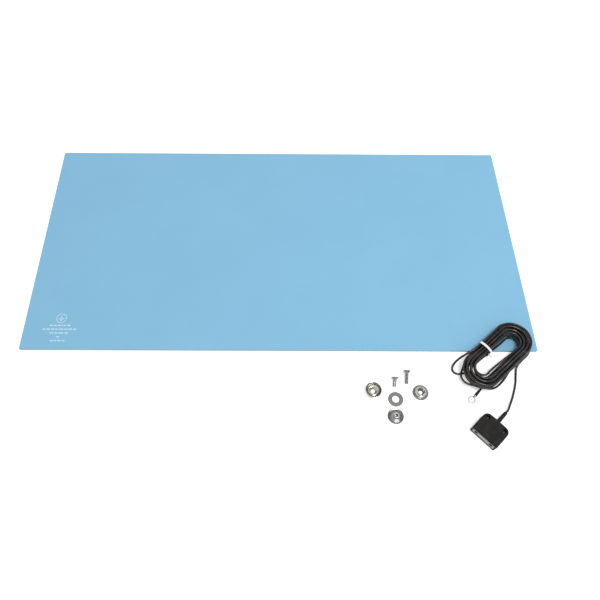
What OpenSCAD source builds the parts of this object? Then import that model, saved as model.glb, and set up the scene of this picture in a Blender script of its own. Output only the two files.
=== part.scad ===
// Bench-mat grounding kit, laid out on one flat surface: a three-layer mat, a common-point
// ground cord in its tied hank, and the loose snap hardware that fastens a stud to the mat.
// Millimetres. +X runs along the mat, +Y away from its front edge, +Z up.
// The origin is the middle of the mat's underside.

/* [Mat] */
// Width of the mat, along X
mat_w = 610; // [560:5:760]
// Depth of the mat, along Y
mat_d = 305; // [260:5:420]
// Thickness of the coloured vinyl on top
vinyl_t = 1.0; // [0.6:0.1:1.6]
// Thickness of the black conductive layer in the middle
core_t = 0.4; // [0.2:0.1:0.8]
// Thickness of the foam underneath
foam_t = 1.8; // [1.2:0.1:2.8]
// Radius of the mat's four corners
mat_corner_r = 1.5; // [0.5:0.5:6]

/* [Printed mark] */
// Thickness of the white ink
ink_t = 0.1; // [0.06:0.02:0.2]
// Outer diameter of the ring round the earth symbol
mark_d = 12.5; // [10:0.5:15]
// Width of the ring's line and of the symbol's strokes
stroke_w = 0.8; // [0.5:0.1:1]
// From the mat's left edge to the middle of the mark
mark_in = 43; // [36:1:60]
// From the mat's front edge to the middle of the ring
mark_up = 40.5; // [38:0.5:60]
// Height of one printed bar
bar_h = 1.7; // [1:0.1:2.2]
// From one row of bars to the next
bar_pitch = 5; // [4:0.25:6]

/* [Block] */
// Width of the block, along its front face
block_w = 32; // [31:0.5:38]
// Depth of the block, from the front face to the cord
block_d = 26; // [25:0.5:30]
// Height of the block
block_h = 12; // [11.5:0.25:15]
// Thickness of the base plate
base_t = 2; // [1.6:0.1:2.2]
// Wall of the cover
wall_t = 1.8; // [1.4:0.1:2.2]
// Radius of the two shoulders beside the cord
shoulder_r = 6.5; // [4:0.5:8]
// Width of the sloped rim round the top
rim_slope = 1.3; // [0.6:0.1:1.6]
// Height of the light panel in the front face
panel_h = 6.4; // [6:0.1:7]
// Thickness of the light panel
panel_t = 2; // [1.4:0.1:2.6]

/* [Jacks and snap] */
// Distance between the two jacks
jack_pitch = 19; // [18:0.25:20]
// Bore of a jack
jack_bore_d = 4; // [3.9:0.05:4.2]
// Outer diameter of a jack
jack_d = 5.4; // [5:0.1:5.6]
// Length of a jack
jack_len = 12.8; // [10:0.2:13]
// Height of the jacks' centres
jack_z = 5.9; // [5.7:0.1:6.4]
// Bore of the snap socket underneath
snap_bore_d = 10.1; // [9.6:0.1:10.6]
// Depth of the snap socket's bore
snap_depth = 3.6; // [3:0.1:3.8]
// Wire of the spring ring in the snap socket
snap_wire_d = 0.7; // [0.5:0.05:0.8]

/* [Cord] */
// Diameter of the cord
cord_d = 2.5; // [2.2:0.05:2.6]
// Length of the strain relief outside the block
relief_len = 16; // [12:1:20]
// Diameter of the strain relief at the block
relief_d = 5; // [4.4:0.1:5.4]
// Diameter of the strain relief at its tip
relief_tip_d = 4; // [3.2:0.1:4.2]
// Length of the hank's straight runs
run_len = 56; // [50:1:60]
// Radius of the outermost bend, to the middle of the cord
bend_r = 21.8; // [21:0.2:23]
// From one loop to the next beside it
loop_pitch = 3.5; // [3.4:0.05:3.6]
// From one layer of loops to the next above it
layer_pitch = 3.1; // [3.05:0.05:3.4]
// Width of the tie round the hank
tie_w = 2.2; // [1.4:0.2:4]
// Thickness of the tie
tie_t = 0.55; // [0.4:0.05:0.6]

/* [Ring terminal] */
// Outer diameter of the ring
ring_d = 9.2; // [8:0.2:10]
// Hole of the ring
ring_bore_d = 5.3; // [5:0.1:5.6]
// Thickness of the ring
ring_t = 0.8; // [0.6:0.1:1.2]
// Outer diameter of the sleeve over the crimp
sleeve_d = 3.4; // [3.2:0.1:3.8]
// Length of the sleeve
sleeve_len = 8.5; // [7:0.5:9]

/* [Snap hardware] */
// Outer diameter of the cup's rim
cup_d = 19; // [16:0.5:22]
// Height of the cup
cup_h = 6; // [5.4:0.1:7]
// Sheet that the cup is pressed from
cup_sheet_t = 0.6; // [0.4:0.05:0.8]
// Diameter of the slotted stud's head, where a socket snaps on
stud_d = 10; // [9.8:0.1:10.2]
// Height of the slotted stud
stud_h = 6.2; // [5.6:0.1:7]
// Diameter of the stud's flange
stud_flange_d = 18; // [16:0.5:20]
// Number of slots in the stud
slot_count = 6; // [4:1:6]
// Width of a slot
slot_w = 1.2; // [0.8:0.1:1.3]
// Outer diameter of the flat washer
washer_d = 17; // [14:0.5:20]
// Hole of the flat washer
washer_bore_d = 8; // [6:0.25:9]
// Thickness of the flat washer
washer_t = 0.9; // [0.6:0.1:1.4]
// Outer diameter of the base nut
nut_d = 18; // [16:0.5:20]
// Height of the base nut with its boss
nut_h = 5; // [4.6:0.1:6]
// Diameter of the base nut's boss
nut_boss_d = 6.6; // [5.6:0.2:8]
// Screw thread's diameter
screw_d = 4; // [3.6:0.1:4.2]
// Diameter of a screw's head
screw_head_d = 8.4; // [7.6:0.1:9]
// Length of the short screw
short_len = 11; // [9:0.5:13]
// Length of the long screw
long_len = 15.5; // [14:0.5:20]

/* [Hidden] */
$fn = 64;

mat_t = foam_t + core_t + vinyl_t;
corner = [mat_w / 2, -mat_d / 2];   // front right corner of the mat

// clearances
slip = 0.1;       // a rigid piece beside another
thread_slip = 0.05;
rest_gap = 0.1;   // a cord or tie over what it lies on
cut = 1;          // how far a cutter runs past a face

// ---------- places, measured from the mat's front right corner or front edge ----------
block_at = corner + [-74.5, -95.5];
block_turn = -46.5;
ring_at = corner + [-87, -59];
ring_turn = 46;
cup_at = [107, corner[1] - 49];
stud_at = [161, corner[1] - 50.5];
washer_at = [132, corner[1] - 58.5];
nut_at = [130, corner[1] - 78];
short_at = [133, corner[1] - 33.5];   // middle of the screw's head
short_turn = -97;
long_at = [147.5, corner[1] - 25.5];
long_turn = -96;

// ---------- mat ----------
module mat_sheet(low, thick) {
    inner = [mat_w - 2 * mat_corner_r, mat_d - 2 * mat_corner_r];
    translate([0, 0, low]) linear_extrude(thick) union() {
        square([mat_w, inner[1]], center = true);
        square([inner[0], mat_d], center = true);
        for (sx = [-1, 1], sy = [-1, 1])
            translate([sx * inner[0] / 2, sy * inner[1] / 2]) circle(mat_corner_r);
    }
}

module mat_base_layer() { color("dimgray") mat_sheet(0, foam_t); }
module mat_core_layer() { color([0.12, 0.12, 0.13]) mat_sheet(foam_t, core_t); }
module mat_top_layer() { color([0.53, 0.74, 0.87]) mat_sheet(foam_t + core_t, vinyl_t); }

// rows of plain bars under the ring: how many bars each row holds, and the bars' lengths
bar_rows = [[4.5, 3, 5.5, 3.5, 4], [3, 5, 4, 2.5, 6, 3, 5, 4], [5, 3.5, 6, 4.5], [3.5], [4, 2.5, 5, 3]];
bar_gap = 1.1;
function total(list, n) = n <= 0 ? 0 : list[n - 1] + total(list, n - 1);

module bar_row(bars) {
    span = total(bars, len(bars)) + bar_gap * (len(bars) - 1);
    for (i = [0 : len(bars) - 1])
        translate([total(bars, i) + bar_gap * i - span / 2, -bar_h / 2]) square([bars[i], bar_h]);
}

module earth_symbol() {
    size = mark_d * 0.6;
    translate([-stroke_w / 2, 0]) square([stroke_w, size / 2]);
    for (i = [0 : 2]) {
        bar = size * (1 - i / 3);
        translate([-bar / 2, -i * size / 5 - stroke_w / 2]) square([bar, stroke_w]);
    }
}

module mat_print() {
    color("white")
    translate([-mat_w / 2 + mark_in, corner[1] + mark_up, mat_t]) linear_extrude(ink_t) {
        difference() {
            circle(d = mark_d);
            circle(d = mark_d - 2 * stroke_w);
        }
        earth_symbol();
        for (i = [0 : len(bar_rows) - 1])
            translate([0, -mark_d / 2 - 3.2 - i * bar_pitch]) bar_row(bar_rows[i]);
    }
}

// ---------- block: local frame, X along the front face, Y towards the cord ----------
front_y = -block_d / 2;
back_y = block_d / 2;
corner_r = 1;
jack_end_y = front_y + jack_len;
jack_nut_d = jack_d + 1.8;
panel_side = 1.6;                      // panel beside each jack
panel_w = jack_pitch + jack_d + 2 * panel_side;
// the snap socket stands against the back wall, under the crimp on the cord's inner end
snap_body_d = snap_bore_d + 3.1;
snap_flange_d = snap_body_d + 1.8;
snap_flange_t = 0.6;
snap_y = back_y - wall_t - slip - snap_flange_d / 2;
snap_top = snap_depth + 0.6;
tag_r = 2.5;
tag_t = 0.4;
rivet_d = 2.4;
rivet_top = snap_top + tag_t + 0.3;
crimp_d = 2.4;
cord_crimp_len = 3.4;
relief_z = snap_top + 2 * slip + crimp_d / 2;
relief_flange_t = 0.9;
inner_top = block_h - wall_t;
panel_z = jack_z - panel_h / 2;
screw_boss_r = 2.7;
boss_in = shoulder_r - (shoulder_r - wall_t - screw_boss_r - slip) / sqrt(2);
boss_at = [block_w / 2 - boss_in, back_y - boss_in];
boss_top = 6.2;
cover_screw_d = 2.2;
cover_head_d = 4;
pocket_d = cover_head_d + 0.6;
pocket_floor = block_h - 3.2;

module in_block() {
    translate([block_at[0], block_at[1], 0]) rotate([0, 0, block_turn]) children();
}

// plan of the block: square front corners, round shoulders at the back
module plan(inset) {
    r1 = max(corner_r - inset, 0.2);
    r2 = max(shoulder_r - inset, 0.5);
    hull() for (s = [-1, 1]) {
        translate([s * (block_w / 2 - inset - r1), front_y + inset + r1]) circle(r1, $fn = 24);
        translate([s * (block_w / 2 - inset - r2), back_y - inset - r2]) circle(r2, $fn = 32);
    }
}

module along_y(from_y, to_y, d) {
    translate([0, from_y, 0]) rotate([-90, 0, 0]) cylinder(h = to_y - from_y, d = d);
}

module block_base() {
    color([0.13, 0.13, 0.13]) in_block() difference() {
        union() {
            linear_extrude(base_t) plan(0);
            for (s = [-1, 1]) translate([s * boss_at[0], boss_at[1], base_t - 0.2])
                cylinder(h = boss_top - base_t + 0.2, r = screw_boss_r - slip);
        }
        translate([0, snap_y, -cut]) cylinder(h = base_t + 2 * cut, d = snap_body_d + 2 * slip);
        for (s = [-1, 1]) translate([s * boss_at[0], boss_at[1], base_t])
            cylinder(h = boss_top, d = cover_screw_d + 2 * thread_slip);
    }
}

module block_cover() {
    color([0.15, 0.15, 0.15]) in_block() difference() {
        union() {
            difference() {
                hull() {
                    translate([0, 0, base_t]) linear_extrude(block_h - base_t - rim_slope) plan(0);
                    translate([0, 0, block_h - 0.05]) linear_extrude(0.05) plan(rim_slope);
                }
                translate([0, 0, base_t - cut]) linear_extrude(inner_top - base_t + cut) plan(wall_t);
            }
            for (s = [-1, 1]) translate([s * boss_at[0], boss_at[1], boss_top])
                cylinder(h = inner_top - boss_top + 0.2, r = screw_boss_r + 0.3);
        }
        translate([-panel_w / 2 - slip, front_y - cut, panel_z - slip])
            cube([panel_w + 2 * slip, cut + max(wall_t, panel_t) + slip, panel_h + 2 * slip]);
        translate([0, 0, relief_z]) along_y(back_y - wall_t - cut, back_y + cut, relief_neck_d + 2 * slip);
        for (s = [-1, 1]) translate([s * jack_pitch / 2, 0, jack_z])
            along_y(front_y + panel_t - slip, front_y + panel_t + jack_nut_t + slip, jack_nut_d + 2 * slip);
        for (s = [-1, 1]) translate([s * boss_at[0], boss_at[1], 0]) {
            translate([0, 0, pocket_floor]) cylinder(h = block_h, d = pocket_d);
            cylinder(h = block_h, d = cover_screw_d + 2 * slip);
        }
    }
}

module jack_panel() {
    color([0.62, 0.63, 0.64]) in_block() difference() {
        translate([-panel_w / 2, front_y, panel_z]) cube([panel_w, panel_t, panel_h]);
        for (s = [-1, 1]) translate([s * jack_pitch / 2, 0, jack_z])
            along_y(front_y - cut, front_y + panel_t + cut, jack_d + 2 * thread_slip);
    }
}

jack_tail_d = 1.2;
jack_tail_len = 1.6;
bus_t = 0.6;
bus_h = 2 * (jack_z - rivet_top - slip);

module banana_jack(side) {
    color([0.83, 0.72, 0.42]) in_block() translate([side * jack_pitch / 2, 0, jack_z]) difference() {
        union() {
            along_y(front_y, jack_end_y, jack_d);
            along_y(jack_end_y - 0.2, jack_end_y + jack_tail_len, jack_tail_d);
        }
        along_y(front_y - cut, jack_end_y - 1, jack_bore_d);
    }
}

module banana_jack_left() { banana_jack(-1); }
module banana_jack_right() { banana_jack(1); }

jack_nut_t = 1.8;
module jack_nuts() {
    color("silver") in_block() for (s = [-1, 1]) translate([s * jack_pitch / 2, 0, jack_z]) difference() {
        along_y(front_y + panel_t, front_y + panel_t + jack_nut_t, jack_nut_d);
        along_y(front_y, back_y, jack_d + 2 * thread_slip);
    }
}

module bus_bar() {
    long = jack_pitch + 4;
    color("goldenrod") in_block() difference() {
        translate([-long / 2, jack_end_y, jack_z - bus_h / 2]) cube([long, bus_t, bus_h]);
        for (s = [-1, 1]) translate([s * jack_pitch / 2, 0, jack_z])
            along_y(jack_end_y - cut, jack_end_y + bus_t + cut, jack_tail_d + 2 * thread_slip);
    }
}

// the resistor stands between the bus bar and the crimp on the cord's inner end
resistor_x = -3.2;
resistor_d = 2.3;
resistor_lead_d = 0.6;
crimp_y = back_y - wall_t - relief_flange_t - slip - cord_crimp_len;
module resistor() {
    body_from = jack_end_y + bus_t + 1;
    color([0.72, 0.62, 0.48]) in_block() translate([resistor_x, 0, jack_z]) {
        along_y(body_from, crimp_y - 1, resistor_d);
        along_y(jack_end_y + bus_t, body_from + 0.2, resistor_lead_d);
        along_y(crimp_y - 1.2, crimp_y + 0.6, resistor_lead_d);
    }
}

// tag that joins the snap socket to the crimp
module solder_tag() {
    color("silver") in_block() translate([0, 0, snap_top]) linear_extrude(tag_t) difference() {
        union() {
            translate([0, snap_y]) circle(tag_r);
            translate([-1, snap_y]) square([2, crimp_y - snap_y - 0.1]);
        }
        translate([0, snap_y]) circle(d = rivet_d + 2 * thread_slip);
    }
}

module wire_crimp() {
    color("silver") in_block() translate([0, 0, relief_z]) {
        along_y(crimp_y, crimp_y + cord_crimp_len, crimp_d);
        translate([resistor_x - 0.6, crimp_y, jack_z - relief_z - 0.8]) cube([-resistor_x, 0.6, 0.5]);
    }
}

module cover_screws() {
    color([0.1, 0.1, 0.1]) in_block() for (s = [-1, 1]) translate([s * boss_at[0], boss_at[1], 0])
        difference() {
            union() {
                translate([0, 0, pocket_floor]) cylinder(h = 1.4, d = cover_head_d);
                translate([0, 0, base_t + 0.4]) cylinder(h = pocket_floor - base_t, d = cover_screw_d);
            }
            for (a = [0, 90]) translate([0, 0, pocket_floor + 1.2]) rotate([0, 0, a + 20 * s])
                cube([2.4, 0.5, 1.2], center = true);
        }
}

// ---------- snap socket in the underside ----------
groove_z = 1.7;
module snap_socket() {
    r = snap_bore_d / 2;
    color("gainsboro") in_block() translate([0, snap_y, 0]) difference() {
        union() {
            translate([0, 0, rest_gap]) cylinder(h = snap_top - rest_gap, d = snap_body_d);
            translate([0, 0, base_t]) cylinder(h = snap_flange_t, d = snap_flange_d);
            cylinder(h = rivet_top, d = rivet_d);
        }
        translate([0, 0, -cut]) cylinder(h = snap_depth + cut, r = r);
        translate([0, 0, groove_z - snap_wire_d / 2 - slip])
            cylinder(h = snap_wire_d + 2 * slip, r = r + snap_wire_d + slip);
    }
}

module snap_spring() {
    gap_angle = 30;
    color("lightgray") in_block() translate([0, snap_y, groove_z]) rotate([0, 0, 90 + gap_angle / 2])
        rotate_extrude(angle = 360 - gap_angle)
            translate([snap_bore_d / 2 + snap_wire_d / 2 + slip / 2, 0]) circle(d = snap_wire_d, $fn = 24);
}

// ---------- strain relief ----------
relief_neck_d = 4.2;
relief_flange_d = 5.6;
rib_count = 5;
rib_depth = 0.3;
rib_gap = 0.8;
relief_from = back_y + 0.05;
module strain_relief() {
    pitch = relief_len / (rib_count + 1);
    taper = relief_d - relief_tip_d;
    color([0.14, 0.14, 0.14]) in_block() translate([0, 0, relief_z]) rotate([-90, 0, 0]) difference() {
        union() {
            translate([0, 0, back_y - wall_t - relief_flange_t])
                cylinder(h = relief_flange_t, d = relief_flange_d);
            translate([0, 0, back_y - wall_t - 0.2]) cylinder(h = wall_t + 0.6, d = relief_neck_d);
            translate([0, 0, relief_from]) cylinder(h = relief_len, d1 = relief_d, d2 = relief_tip_d);
        }
        for (i = [1 : rib_count]) translate([0, 0, relief_from + i * pitch]) difference() {
            cylinder(h = rib_gap, d = relief_d + cut);
            translate([0, 0, -slip])
                cylinder(h = rib_gap + 2 * slip, d = relief_d - taper * i / (rib_count + 1) - 2 * rib_depth);
        }
    }
}

// ---------- cord ----------
cord_r = cord_d / 2;
loop_rings = 24;       // rings in one loop of the hank
hank_rings = 347;      // steps of the hank, from its lowest end to its highest
hank_sides = 6;
free_sides = 8;
first_t = -0.5 / loop_rings;                 // turn where the hank begins
last_t = first_t + hank_rings / loop_rings;  // turn where it ends
layer_turns = last_t / 4;                    // turns in each of the four layers
run_shrink = 1;                              // a loop's run is this much shorter than the next outside it
hank_at = corner + [-52, -9];
hank_turn = 40;

function smooth(x) = let (k = min(max(x, 0), 1)) k * k * (3 - 2 * k);
function bump(x, middle, half) = abs(x - middle) < half ? (1 + cos(180 * (x - middle) / half)) / 2 : 0;

// height of what the cord lies on: the mat, a slope down past its front edge, then the surface
edge_reach = 9;
edge_slope = 22;
function lie(p) = (mat_t + rest_gap) * (1 - smooth((corner[1] - p[1] - edge_reach) / edge_slope));

// the lower left bend lies over the cord's tucked-in end
tuck_at = corner + [-82, -38];
tuck_flat = 13;
tuck_slope = 22;
tuck_rise = cord_d + 0.9;
function tuck(p) = tuck_rise * (1 - smooth((norm([p[0], p[1]] - tuck_at) - tuck_flat) / tuck_slope));

// number of loops inside the outermost one at turn t: each layer spirals in, the next one out
function inward(t) = abs(((max(t, 0) + layer_turns) % (2 * layer_turns)) - layer_turns);
function layer(t) = smooth((t - layer_turns + 0.25) / 0.5) + smooth((t - 2 * layer_turns + 0.25) / 0.5)
    + smooth((t - 3 * layer_turns + 0.25) / 0.5);

// loops that stand away from the bundle: turn at the middle, half width in turns, distance
strays = [[0.265, 0.12, 5], [0.635, 0.08, 4.4], [0.855, 0.115, 5], [3.33, 0.16, -2], [10.86, 0.14, -2.4]];
function stray(t, i = 0) = i >= len(strays) ? 0
    : strays[i][2] * bump(t, strays[i][0], strays[i][1]) + stray(t, i + 1);

// one loop in the hank's own plan: two runs and two half rounds
function loop_point(f, half, r) =
    f < 1 / 3 ? [half + r * cos(540 * f - 90), r * sin(540 * f - 90)]
    : f < 1 / 2 ? [half * (5 - 12 * f), r]
    : f < 5 / 6 ? [-half + r * cos(540 * f - 180), r * sin(540 * f - 180)]
    : [half * (12 * f - 11), -r];

// each layer is turned and slid a little where the tie holds it
tie_u = -5;
bundle_in = bend_r - loop_pitch * layer_turns;
tie_v = (bend_r + bundle_in) / 2;
layer_turn = [0, 1.2, -0.8, 1.6, 1.6];
layer_slide = [0, -0.6, 0.6, 0, 0];
function blend(list, s) = let (i = floor(s)) list[i] + (list[i + 1] - list[i]) * (s - i);
function turned(p, a) = [p[0] * cos(a) - p[1] * sin(a), p[0] * sin(a) + p[1] * cos(a)];
tie_lift = tie_t + 0.2;
function tie_rise(q) = tie_lift * bump(q[0], tie_u, 30) * smooth((q[1] + 2) / 8);

function hank_point(t) = let (
    w = inward(t),
    s = layer(t),
    q0 = loop_point(t - floor(t), run_len / 2 - run_shrink * w, bend_r - loop_pitch * w + stray(t)),
    q = turned(q0 - [tie_u, tie_v], blend(layer_turn, s)) + [tie_u + blend(layer_slide, s), tie_v],
    p = hank_at + turned(q, hank_turn)
) [p[0], p[1], lie(p) + tuck(p) + cord_r + layer_pitch * s + tie_rise(q)];

function unit(a) = a / norm(a);
hank_body = [for (i = [0 : hank_rings]) hank_point(first_t + i / loop_rings)];
start_way = unit(hank_body[0] - hank_body[1]);
end_way = unit(hank_body[hank_rings] - hank_body[hank_rings - 1]);
hank_route = concat([hank_body[0] + cord_d * start_way], hank_body,
    [hank_body[hank_rings] + cord_d * end_way]);
hank_start = hank_route[0];
hank_end = hank_route[hank_rings + 2];

function lengths(p) = [for (i = [1 : len(p) - 1]) norm(p[i] - p[i - 1])];
function sum(list) = [for (x = list) 1] * list;
function least_gap(p, apart) = min([for (i = [0 : len(p) - 1 - apart])
    min([for (j = [i + apart : len(p) - 1]) norm(p[i] - p[j])])]) - cord_d;

// smooth curve through the points of a route, with its first and last stretches left straight
function curve_point(a, b, c, d, k) = 0.5 * (2 * b + (c - a) * k
    + (2 * a - 5 * b + 4 * c - d) * k * k + (3 * b - a - 3 * c + d) * k * k * k);
function curve(p, steps) = let (last = len(p) - 1) concat(
    [p[0]],
    [for (i = [1 : last - 2], k = [0 : steps - 1])
        curve_point(p[i - 1], p[i], p[i + 1], p[i + 2], k / steps)],
    [p[last - 1], p[last]]);

function from_corner(p, z) = [corner[0] + p[0], corner[1] + p[1], z];
function in_block_frame(p) = let (q = block_at + turned([p[0], p[1]], block_turn)) [q[0], q[1], p[2]];

// lead: from the strain relief to the hank. Each point: x and y from the mat's corner,
// then its share of the relief's height
relief_tip = [0, relief_from + relief_len, relief_z];
lead_points = [[-49.3, -71.3, 0.75], [-45.5, -65, 0.32], [-41.5, -58, 0.05], [-37, -48, 0], [-33.5, -38, 0], [-31.5, -29, 0],
               [-29.5, -21, 0]];
function lead_z(p) = lie(from_corner(p, 0)) + cord_r + p[2] * (relief_z - cord_r);
lead_route = concat(
    [for (y = [0, cord_d]) in_block_frame(relief_tip + [0, y, 0])],
    [for (p = lead_points) from_corner(p, lead_z(p))],
    [hank_start + cord_d * start_way, hank_start]);

// tail: from the hank, round the stray loop and back under the bend to the ring terminal.
// Each point: x and y from the mat's corner, then its share of the hank end's height
tail_points = [[-80, -3.6, 0.97], [-87.5, -7.2, 0.82], [-94.5, -10.8, 0.55], [-100.2, -15, 0.28],
               [-103.6, -19.8, 0.08], [-103.6, -24.4, 0], [-100, -27.8, 0], [-94.5, -28, 0],
               [-88.5, -26.6, 0], [-82.5, -27.6, 0], [-77, -31.5, 0], [-73.5, -36.5, 0],
               [-72.8, -42, 0]];
sleeve_from = 6;
crimp_len = 5;
sleeve_z = sleeve_d / 2 + rest_gap;
function at_ring(along, z) = [ring_at[0] + along * cos(ring_turn), ring_at[1] + along * sin(ring_turn), z];
tail_route = concat(
    [hank_end, hank_end + cord_d * end_way],
    [for (p = tail_points) from_corner(p, cord_r + p[2] * (hank_end[2] - cord_r))],
    [for (more = [cord_d, 0]) at_ring(sleeve_from + sleeve_len + more, sleeve_z)]);
free_steps = 3;

// tube swept along a route: each ring stands square to the route, with its sides level
function ring_points(c, way, r, sides) = let (side = unit(cross(way, [0, 0, 1])), up = cross(side, way))
    [for (k = [0 : sides - 1]) let (a = 360 * (k + 0.5) / sides) c + r * (cos(a) * side + sin(a) * up)];

module tube(p, r, sides) {
    n = len(p);
    points = [for (i = [0 : n - 1]) each ring_points(p[i],
        unit(p[min(i + 1, n - 1)] - p[max(i - 1, 0)]), r, sides)];
    walls = [for (i = [0 : n - 2], k = [0 : sides - 1]) let (
        a = i * sides + k, b = i * sides + (k + 1) % sides)
        each [[a, b, b + sides], [a, b + sides, a + sides]]];
    first_cap = [for (k = [1 : sides - 2]) [0, k + 1, k]];
    last = (n - 1) * sides;
    last_cap = [for (k = [1 : sides - 2]) [last, last + k, last + k + 1]];
    polyhedron(points = points, faces = [for (f = concat(walls, first_cap, last_cap)) [f[0], f[2], f[1]]]);
}

module cord_lead() { color([0.13, 0.13, 0.13]) tube(curve(lead_route, free_steps), cord_r, free_sides); }
module cord_hank() { color([0.13, 0.13, 0.13]) tube(hank_route, cord_r, hank_sides); }
module cord_tail() { color([0.13, 0.13, 0.13]) tube(curve(tail_route, free_steps), cord_r, free_sides); }

union() {  // cord_hank
    echo(least_gap_mm = least_gap(hank_route, loop_rings / 2));
    echo(hank_mm = sum(lengths(hank_route)));
    echo(lead_mm = sum(lengths(curve(lead_route, free_steps))));
    echo(tail_mm = sum(lengths(curve(tail_route, free_steps))));
}

// ---------- tie round the upper run ----------
module rounded(w, h, r) {
    square([w, h - 2 * r], center = true);
    square([w - 2 * r, h], center = true);
    for (sx = [-1, 1], sy = [-1, 1]) translate([sx * (w / 2 - r), sy * (h / 2 - r)]) circle(r);
}

tie_end_len = 4.5;   // twisted end of the tie
tie_end_d = 1.5;
module twist_tie() {
    slack = 0.35;
    low = mat_t + rest_gap;
    high = low + tie_lift + 3 * layer_pitch + cord_d + slack / 2 + tie_t;
    wide = bend_r - bundle_in + cord_d + 2 * slack + 2 * tie_t;
    tall = high - low;
    color("white") translate([hank_at[0], hank_at[1], 0]) rotate([0, 0, hank_turn])
        translate([tie_u, tie_v, (low + high) / 2]) {
            rotate([90, 0, 90]) linear_extrude(tie_w, center = true) difference() {
                rounded(wide, tall, 1.2 + tie_t);
                rounded(wide - 2 * tie_t, tall - 2 * tie_t, 1.2);
            }
            translate([0, 0.1 - wide / 2, -tall / 5]) rotate([90, 0, 0])
                cylinder(h = tie_end_len, d = tie_end_d);
        }
}

// ---------- ring terminal ----------
barrel_d = sleeve_d - 0.8;
barrel_show = 1.4;   // barrel that shows before the sleeve
neck_w = 3;
module ring_terminal() {
    color("gainsboro") translate([ring_at[0], ring_at[1], 0]) rotate([0, 0, ring_turn]) difference() {
        union() {
            cylinder(h = ring_t, d = ring_d);
            translate([0, -neck_w / 2, 0]) cube([sleeve_from - slip, neck_w, ring_t]);
            translate([sleeve_from - barrel_show, 0, sleeve_z]) rotate([0, 90, 0])
                cylinder(h = crimp_len + barrel_show, d = barrel_d);
        }
        translate([0, 0, -cut]) cylinder(h = ring_t + 2 * cut, d = ring_bore_d);
    }
}

module ring_sleeve() {
    color([0.1, 0.1, 0.1]) translate([ring_at[0], ring_at[1], sleeve_z]) rotate([0, 0, ring_turn])
        rotate([0, 90, 0]) translate([0, 0, sleeve_from]) difference() {
            cylinder(h = sleeve_len, d = sleeve_d);
            translate([0, 0, -cut]) cylinder(h = crimp_len + cut + slip, d = barrel_d + 2 * thread_slip);
        }
}

// ---------- snap hardware ----------
module at(place) { translate([place[0], place[1], 0]) children(); }

seat_r = screw_head_d / 2 + 0.3;
seat_depth = screw_head_d / 2 - screw_d / 2;
through_d = screw_d + 0.4;

module countersink(top) {
    translate([0, 0, top - seat_depth]) cylinder(h = seat_depth + 0.01, r1 = through_d / 2, r2 = seat_r);
}

// pressed cup: flat floor round the screw, curved wall, rolled rim
cup_floor_r = 5.6;
cup_steps = 8;
cup_floor_t = seat_depth + 0.2;
function cup_wall(r0, r1, z0, z1) = [for (i = [0 : cup_steps]) let (a = 90 * i / cup_steps)
    [r0 + (r1 - r0) * sin(a), z0 + (z1 - z0) * (1 - cos(a))]];
module socket_cup() {
    rim = cup_d / 2;
    roll = cup_sheet_t * 0.9;
    outside = cup_wall(cup_floor_r, rim - 0.2, 0, cup_h - roll);
    inside = cup_wall(cup_floor_r - 0.6, rim - 0.2 - cup_sheet_t, cup_sheet_t, cup_h - roll);
    color("gainsboro") at(cup_at) difference() {
        union() {
            rotate_extrude() polygon(concat([[0, 0]], outside,
                [for (i = [cup_steps : -1 : 0]) inside[i]], [[0, cup_sheet_t]]));
            translate([0, 0, cup_h - roll]) rotate_extrude()
                translate([rim - roll, 0]) circle(roll, $fn = 24);
            cylinder(h = cup_floor_t, r = seat_r + 0.5);
        }
        countersink(cup_floor_t);
        translate([0, 0, -cut]) cylinder(h = cup_floor_t + 2 * cut, d = through_d);
    }
}

// slotted stud: flange, sloped shoulder, and fingers that carry the snap bead
module slotted_stud() {
    flange_t = 1;
    bead_r = stud_d / 2;
    neck_r = bead_r - 0.25;
    well_r = bead_r - 1;
    floor_t = seat_depth + 0.4;
    shoulder_r0 = bead_r + 1.5;
    color("gainsboro") at(stud_at) difference() {
        rotate_extrude() polygon([
            [0, 0], [stud_flange_d / 2, 0], [stud_flange_d / 2, flange_t - 0.2],
            [stud_flange_d / 2 - 0.2, flange_t], [shoulder_r0, flange_t], [shoulder_r0, flange_t + 1],
            [neck_r, flange_t + 1.8], [neck_r, flange_t + 2.6], [bead_r, flange_t + 2.9], [bead_r, stud_h - 0.9],
            [bead_r - 0.5, stud_h], [0, stud_h]]);
        translate([0, 0, floor_t]) cylinder(h = stud_h, r = well_r);
        countersink(floor_t);
        translate([0, 0, -cut]) cylinder(h = stud_h, d = through_d);
        for (i = [0 : slot_count - 1]) rotate([0, 0, 360 * (i + 0.5) / slot_count])
            translate([0, -slot_w / 2, floor_t]) cube([shoulder_r0 + 1, slot_w, stud_h]);
    }
}

module flat_washer() {
    color("silver") at(washer_at) difference() {
        cylinder(h = washer_t, d = washer_d);
        translate([0, 0, -cut]) cylinder(h = washer_t + 2 * cut, d = washer_bore_d);
    }
}

// base nut: a shallow cone with a threaded boss that comes up through the mat
module base_nut() {
    edge_t = 0.9;
    color("silver") at(nut_at) difference() {
        rotate_extrude() polygon([
            [0, 0], [nut_d / 2 - 0.3, 0], [nut_d / 2, 0.3], [nut_d / 2, edge_t],
            [nut_d / 2 - 0.6, edge_t + 0.3], [nut_d / 2 - 1.6, edge_t],
            [nut_boss_d / 2 + 1, 1.7], [nut_boss_d / 2, 2.1], [nut_boss_d / 2, nut_h - 0.3], [nut_boss_d / 2 - 0.3, nut_h], [0, nut_h]]);
        translate([0, 0, 0.8]) cylinder(h = nut_h, d = screw_d * 0.825);
    }
}

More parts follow.
